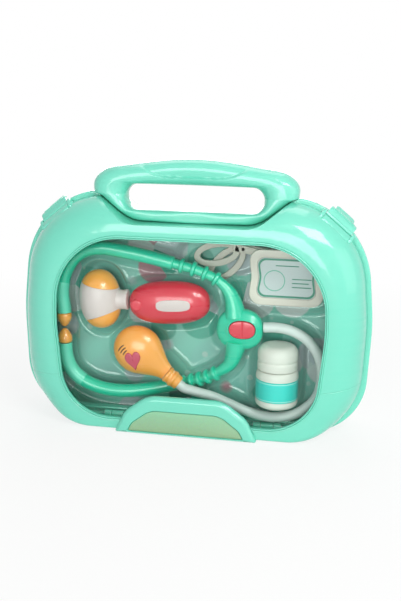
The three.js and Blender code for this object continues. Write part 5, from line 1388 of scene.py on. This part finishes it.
# Medicine bottle: white polypropylene body and a smooth, stepped screw cap, and a
# turquoise paper band round the middle, left bare but for two thin rules.
bottle_foot = (bottle_place[0], tool_y, bottle_place[1])
band_foot, band_top, band_radius, band_bore = 6.8, 23, 16.75, 15.3
pp_white = moulded_plastic(
    "matt_white_polypropylene", "#E1E1DA", "#D9D8D1", 0.44, ripple=12, grain=0.6, strength=0.16)
jar = eased([
    [0, 0], [14.0, 0], [16.8, 2.4], [16.8, 6.5], [16.1, 6.5], [16.1, 23.3], [16.8, 23.3], [16.8, 26.6],
    [15.2, 30], [12.4, 30], [12.4, 47.5], [0, 47.5],
], [0, 1.6, 2.2, 0.3, 0.1, 0.1, 0.3, 1.6, 1.4, 0.4, 1, 0], 6)
make_piece("bottle_jar", [turned(jar, bottle_foot, (0, 0, 1), 96)], pp_white, "case",
           ["bottle_body"])


def coated_paper(name, fibre_size, first, second):
    """A paper's tree with its place, its fibres and a tone that varies with them."""
    material, tree = bare_material(name)
    place = add(tree, "TexCoord").outputs["Object"]
    fibres = noise(tree, place, fibre_size, 3).outputs["Fac"]
    return material, tree, place, fibres, blend(tree, fibres, linear(first), linear(second))


# Coated paper, turquoise with fine fibres, and a pale rule near each edge of the band.
turquoise_paper, tree, place, fibres, tint = coated_paper("coated_turquoise_paper", 1.2, "#30CBC2", "#46DAD0")
height = add(tree, "SeparateXYZ", None, {"Vector": place}).outputs["Z"]
low, high = (bottle_place[1] + band_foot) / 1000, (bottle_place[1] + band_top) / 1000
from_middle = reckon(tree, "ABSOLUTE", remap(tree, height, low, high, -1.0, 1.0))
on_rule = reckon(tree, "COMPARE", from_middle, 0.86, 0.025)
finish_print(tree, blend(tree, on_rule, tint, linear("#C6F2EC")), fibres, 0.1, 0.4, 1.46)
band_profile = eased([
    [band_bore, band_foot], [band_radius, band_foot], [band_radius, band_top], [band_bore, band_top],
], [0, 0.15, 0.15, 0])
band_skin = turned(band_profile, bottle_foot, (0, 0, 1), 96, closed=True)
make_piece("bottle_band", [band_skin], turquoise_paper, "case", ["bottle_label"])


def screw_cap_skins():
    """A smooth cap in two steps: a low collar, a shallow waist and a domed top; inside is a plain bore.

    A small plug closes the middle of its top."""
    top, ceiling = 50.2, 47.8
    profile = eased([
        [12.7, 30.6], [15.8, 30.6], [16.0, 36.4], [15.1, 37.6], [15.9, 39.2], [15.9, 45.6], [12.2, top],
        [0.3, top], [0.3, ceiling], [12.7, ceiling],
    ], [0.2, 0.8, 1.4, 1.0, 1.2, 3.4, 3.6, 0, 0, 0.8], 8)
    plug = [[0, ceiling], [0.31, ceiling], [0.31, top], [0, top]]
    return [
        turned(profile, bottle_foot, (0, 0, 1), 96, closed=True), turned(plug, bottle_foot, (0, 0, 1), 60),
    ]


make_piece("screw_cap_stepped", screw_cap_skins(), pp_white, "screw_cap", ["bottle_cap"])


# Badge: an ivory plate with drawn-in sides and a thin printed face, ruled in green. The face
# keeps a bare disc and four generic rules.
badge_half_x, badge_half_z, badge_waist = 30, 22, 27.4
badge_corner, badge_waist_round = 9, 18
face_y, face_inset, ink_high, ink_sunk = -2.8, 6.3, 0.1, 0.05
disc_place, disc_radius, disc_line, keyline_width = [63.4, 123.1], 8.4, 0.8, 1.5
badge_rules = [(77, 92, 124.5), (77, 90, 121.3), (77, 92, 118.1), (64, 82, 134.6)]
rule_height = 0.8
ivory_plastic = moulded_plastic("satin_ivory_plastic", "#DDD6CC", "#D2CAC0", 0.34)


def badge_loop(inset):
    """The badge's outline, inset: a rounded rectangle whose sides draw in by 2.6 mm at the middle."""
    x, z, corner = badge_half_x - inset, badge_half_z - inset, badge_corner - inset / 2
    corners = both_sides([[x, -z, corner], [badge_waist - inset, 0, badge_waist_round], [x, z, corner]])
    return rounded_loop(corners, [14, 10, 14, 14, 10, 14], [6, 6, 30, 6, 6, 30]) + badge_place


def badge_skin():
    """Rows from the back over a rolled edge to the rim, and down into the recess of the face."""
    rows = rings(badge_loop, [(0, -0.3), (0, -2.8), (5.8, -2.8), (6.0, -2.0)])
    return skin(with_rounds(rows, [0.4, 0.9, 0.3, 0]))


def ink_ring(loop_at, width):
    """A raised ink line on the badge's face: a band between two loops, 0.1 mm high."""
    low, high = face_y + ink_sunk, face_y - ink_high
    return skin(rings(loop_at, [(0, low), (0, high), (width, high), (width, low)]), closed=True)


make_piece("badge_plate", [badge_skin()], ivory_plastic, "case", ["id_badge"])
# Coated paper, pale grey, with fibres of about 1 mm under a satin coating.
badge_paper, tree, _, fibres, tint = coated_paper("coated_badge_paper", 1.0, "#C2CBCE", "#CFD7D9")
finish_print(tree, tint, fibres, 0.08, 0.42, 1.46)
face_skin = slab(lambda inset: badge_loop(face_inset + inset), face_y, face_y + 0.5, 0.1, 0.1, 2)
make_piece("badge_face", [face_skin], badge_paper, "case", ["badge_card"])
# Printed inks, one green and one pale, with a slight sheen.
green_ink = moulded_plastic("printed_green_ink", "#2F8E76", "#2A8068", 0.45)
pale_ink = moulded_plastic("printed_pale_ink", "#78BDAB", "#6EB3A1", 0.45)
keyline = ink_ring(lambda inset: badge_loop(face_inset + 0.4 + inset), keyline_width)
rule_blocks = [
    block((from_x, face_y - ink_high, z), (to_x, face_y + ink_sunk, z + rule_height), 0.05)
    for from_x, to_x, z in badge_rules
]
make_piece("badge_keyline", [keyline, *rule_blocks], green_ink, "case")
disc = ink_ring(lambda inset: oval_loop(disc_place, disc_radius - inset, disc_radius - inset), disc_line)
make_piece("badge_disc_line", [disc], pale_ink, "case")


# Toy scissors: two flat halves of grey plastic, one behind the other, that turn on a rivet.
half_thick, rear_half_y = 2.1, 2.4
loop_half, loop_width, loop_edge = (18.4, 10), 5, 0.6
blade_corners = np.array([[-6.4, -3.2, 1], [42, -1.6, 1.2], [42, 1.6, 1.2], [-6.4, 3.2, 1]], float)
blade_edge = 0.4
grey_plastic = moulded_plastic("satin_grey_plastic", "#C2BDB2", "#B3AEA3", 0.36)


def finger_loop_skin(left, drop, y):
    """An oval ring 5 mm wide and 2.1 mm thick, its edges eased, tilted along the line from the rivet."""
    degrees = math.degrees(math.atan2(drop, left))
    place = rivet_place - [left, drop]

    def loop_at(inset):
        return oval_loop(place, loop_half[0] - inset, loop_half[1] - inset, 2, 90, degrees)

    rows = rings(loop_at, [(0, y), (loop_width, y), (loop_width, y + half_thick), (0, y + half_thick)])
    return skin(with_rounds(rows, [loop_edge] * 4), closed=True)


def blade_skin(degrees, y):
    """A tapering blade, eased along its edges."""
    def loop_at(inset):
        x, z = rounded_loop(offset_outline(blade_corners, -inset), [6] * 4, [12, 2, 12, 2]).T
        return np.stack(tilted(x, z, degrees), 1) + rivet_place

    return slab(loop_at, y, y + half_thick, blade_edge, blade_edge, 3)


for half, node, body, left, drop, degrees, y in (
    ("front", "a", "case", 20.5, 4.5, -10, 0), ("rear", "b", "scissor_arm", 13, 12.6, -4, rear_half_y),
):
    half_skins = [finger_loop_skin(left, drop, y), blade_skin(degrees, y)]
    make_piece(f"scissors_{half}_half", half_skins, grey_plastic, body,
               [f"scissor_half_{node}"])
rivet = eased([[0, 0], [1.5, 0], [1.9, 0.4], [1.9, 4.1], [1.5, 4.5], [0, 4.5]], [0, 0.2, 0.2, 0.2, 0.2, 0])
rivet_skin = turned(rivet, (rivet_place[0], 0, rivet_place[1]), (0, 1, 0), 32)
make_piece("scissors_rivet", [rivet_skin], grey_plastic, "case", ["scissor_rivet"])
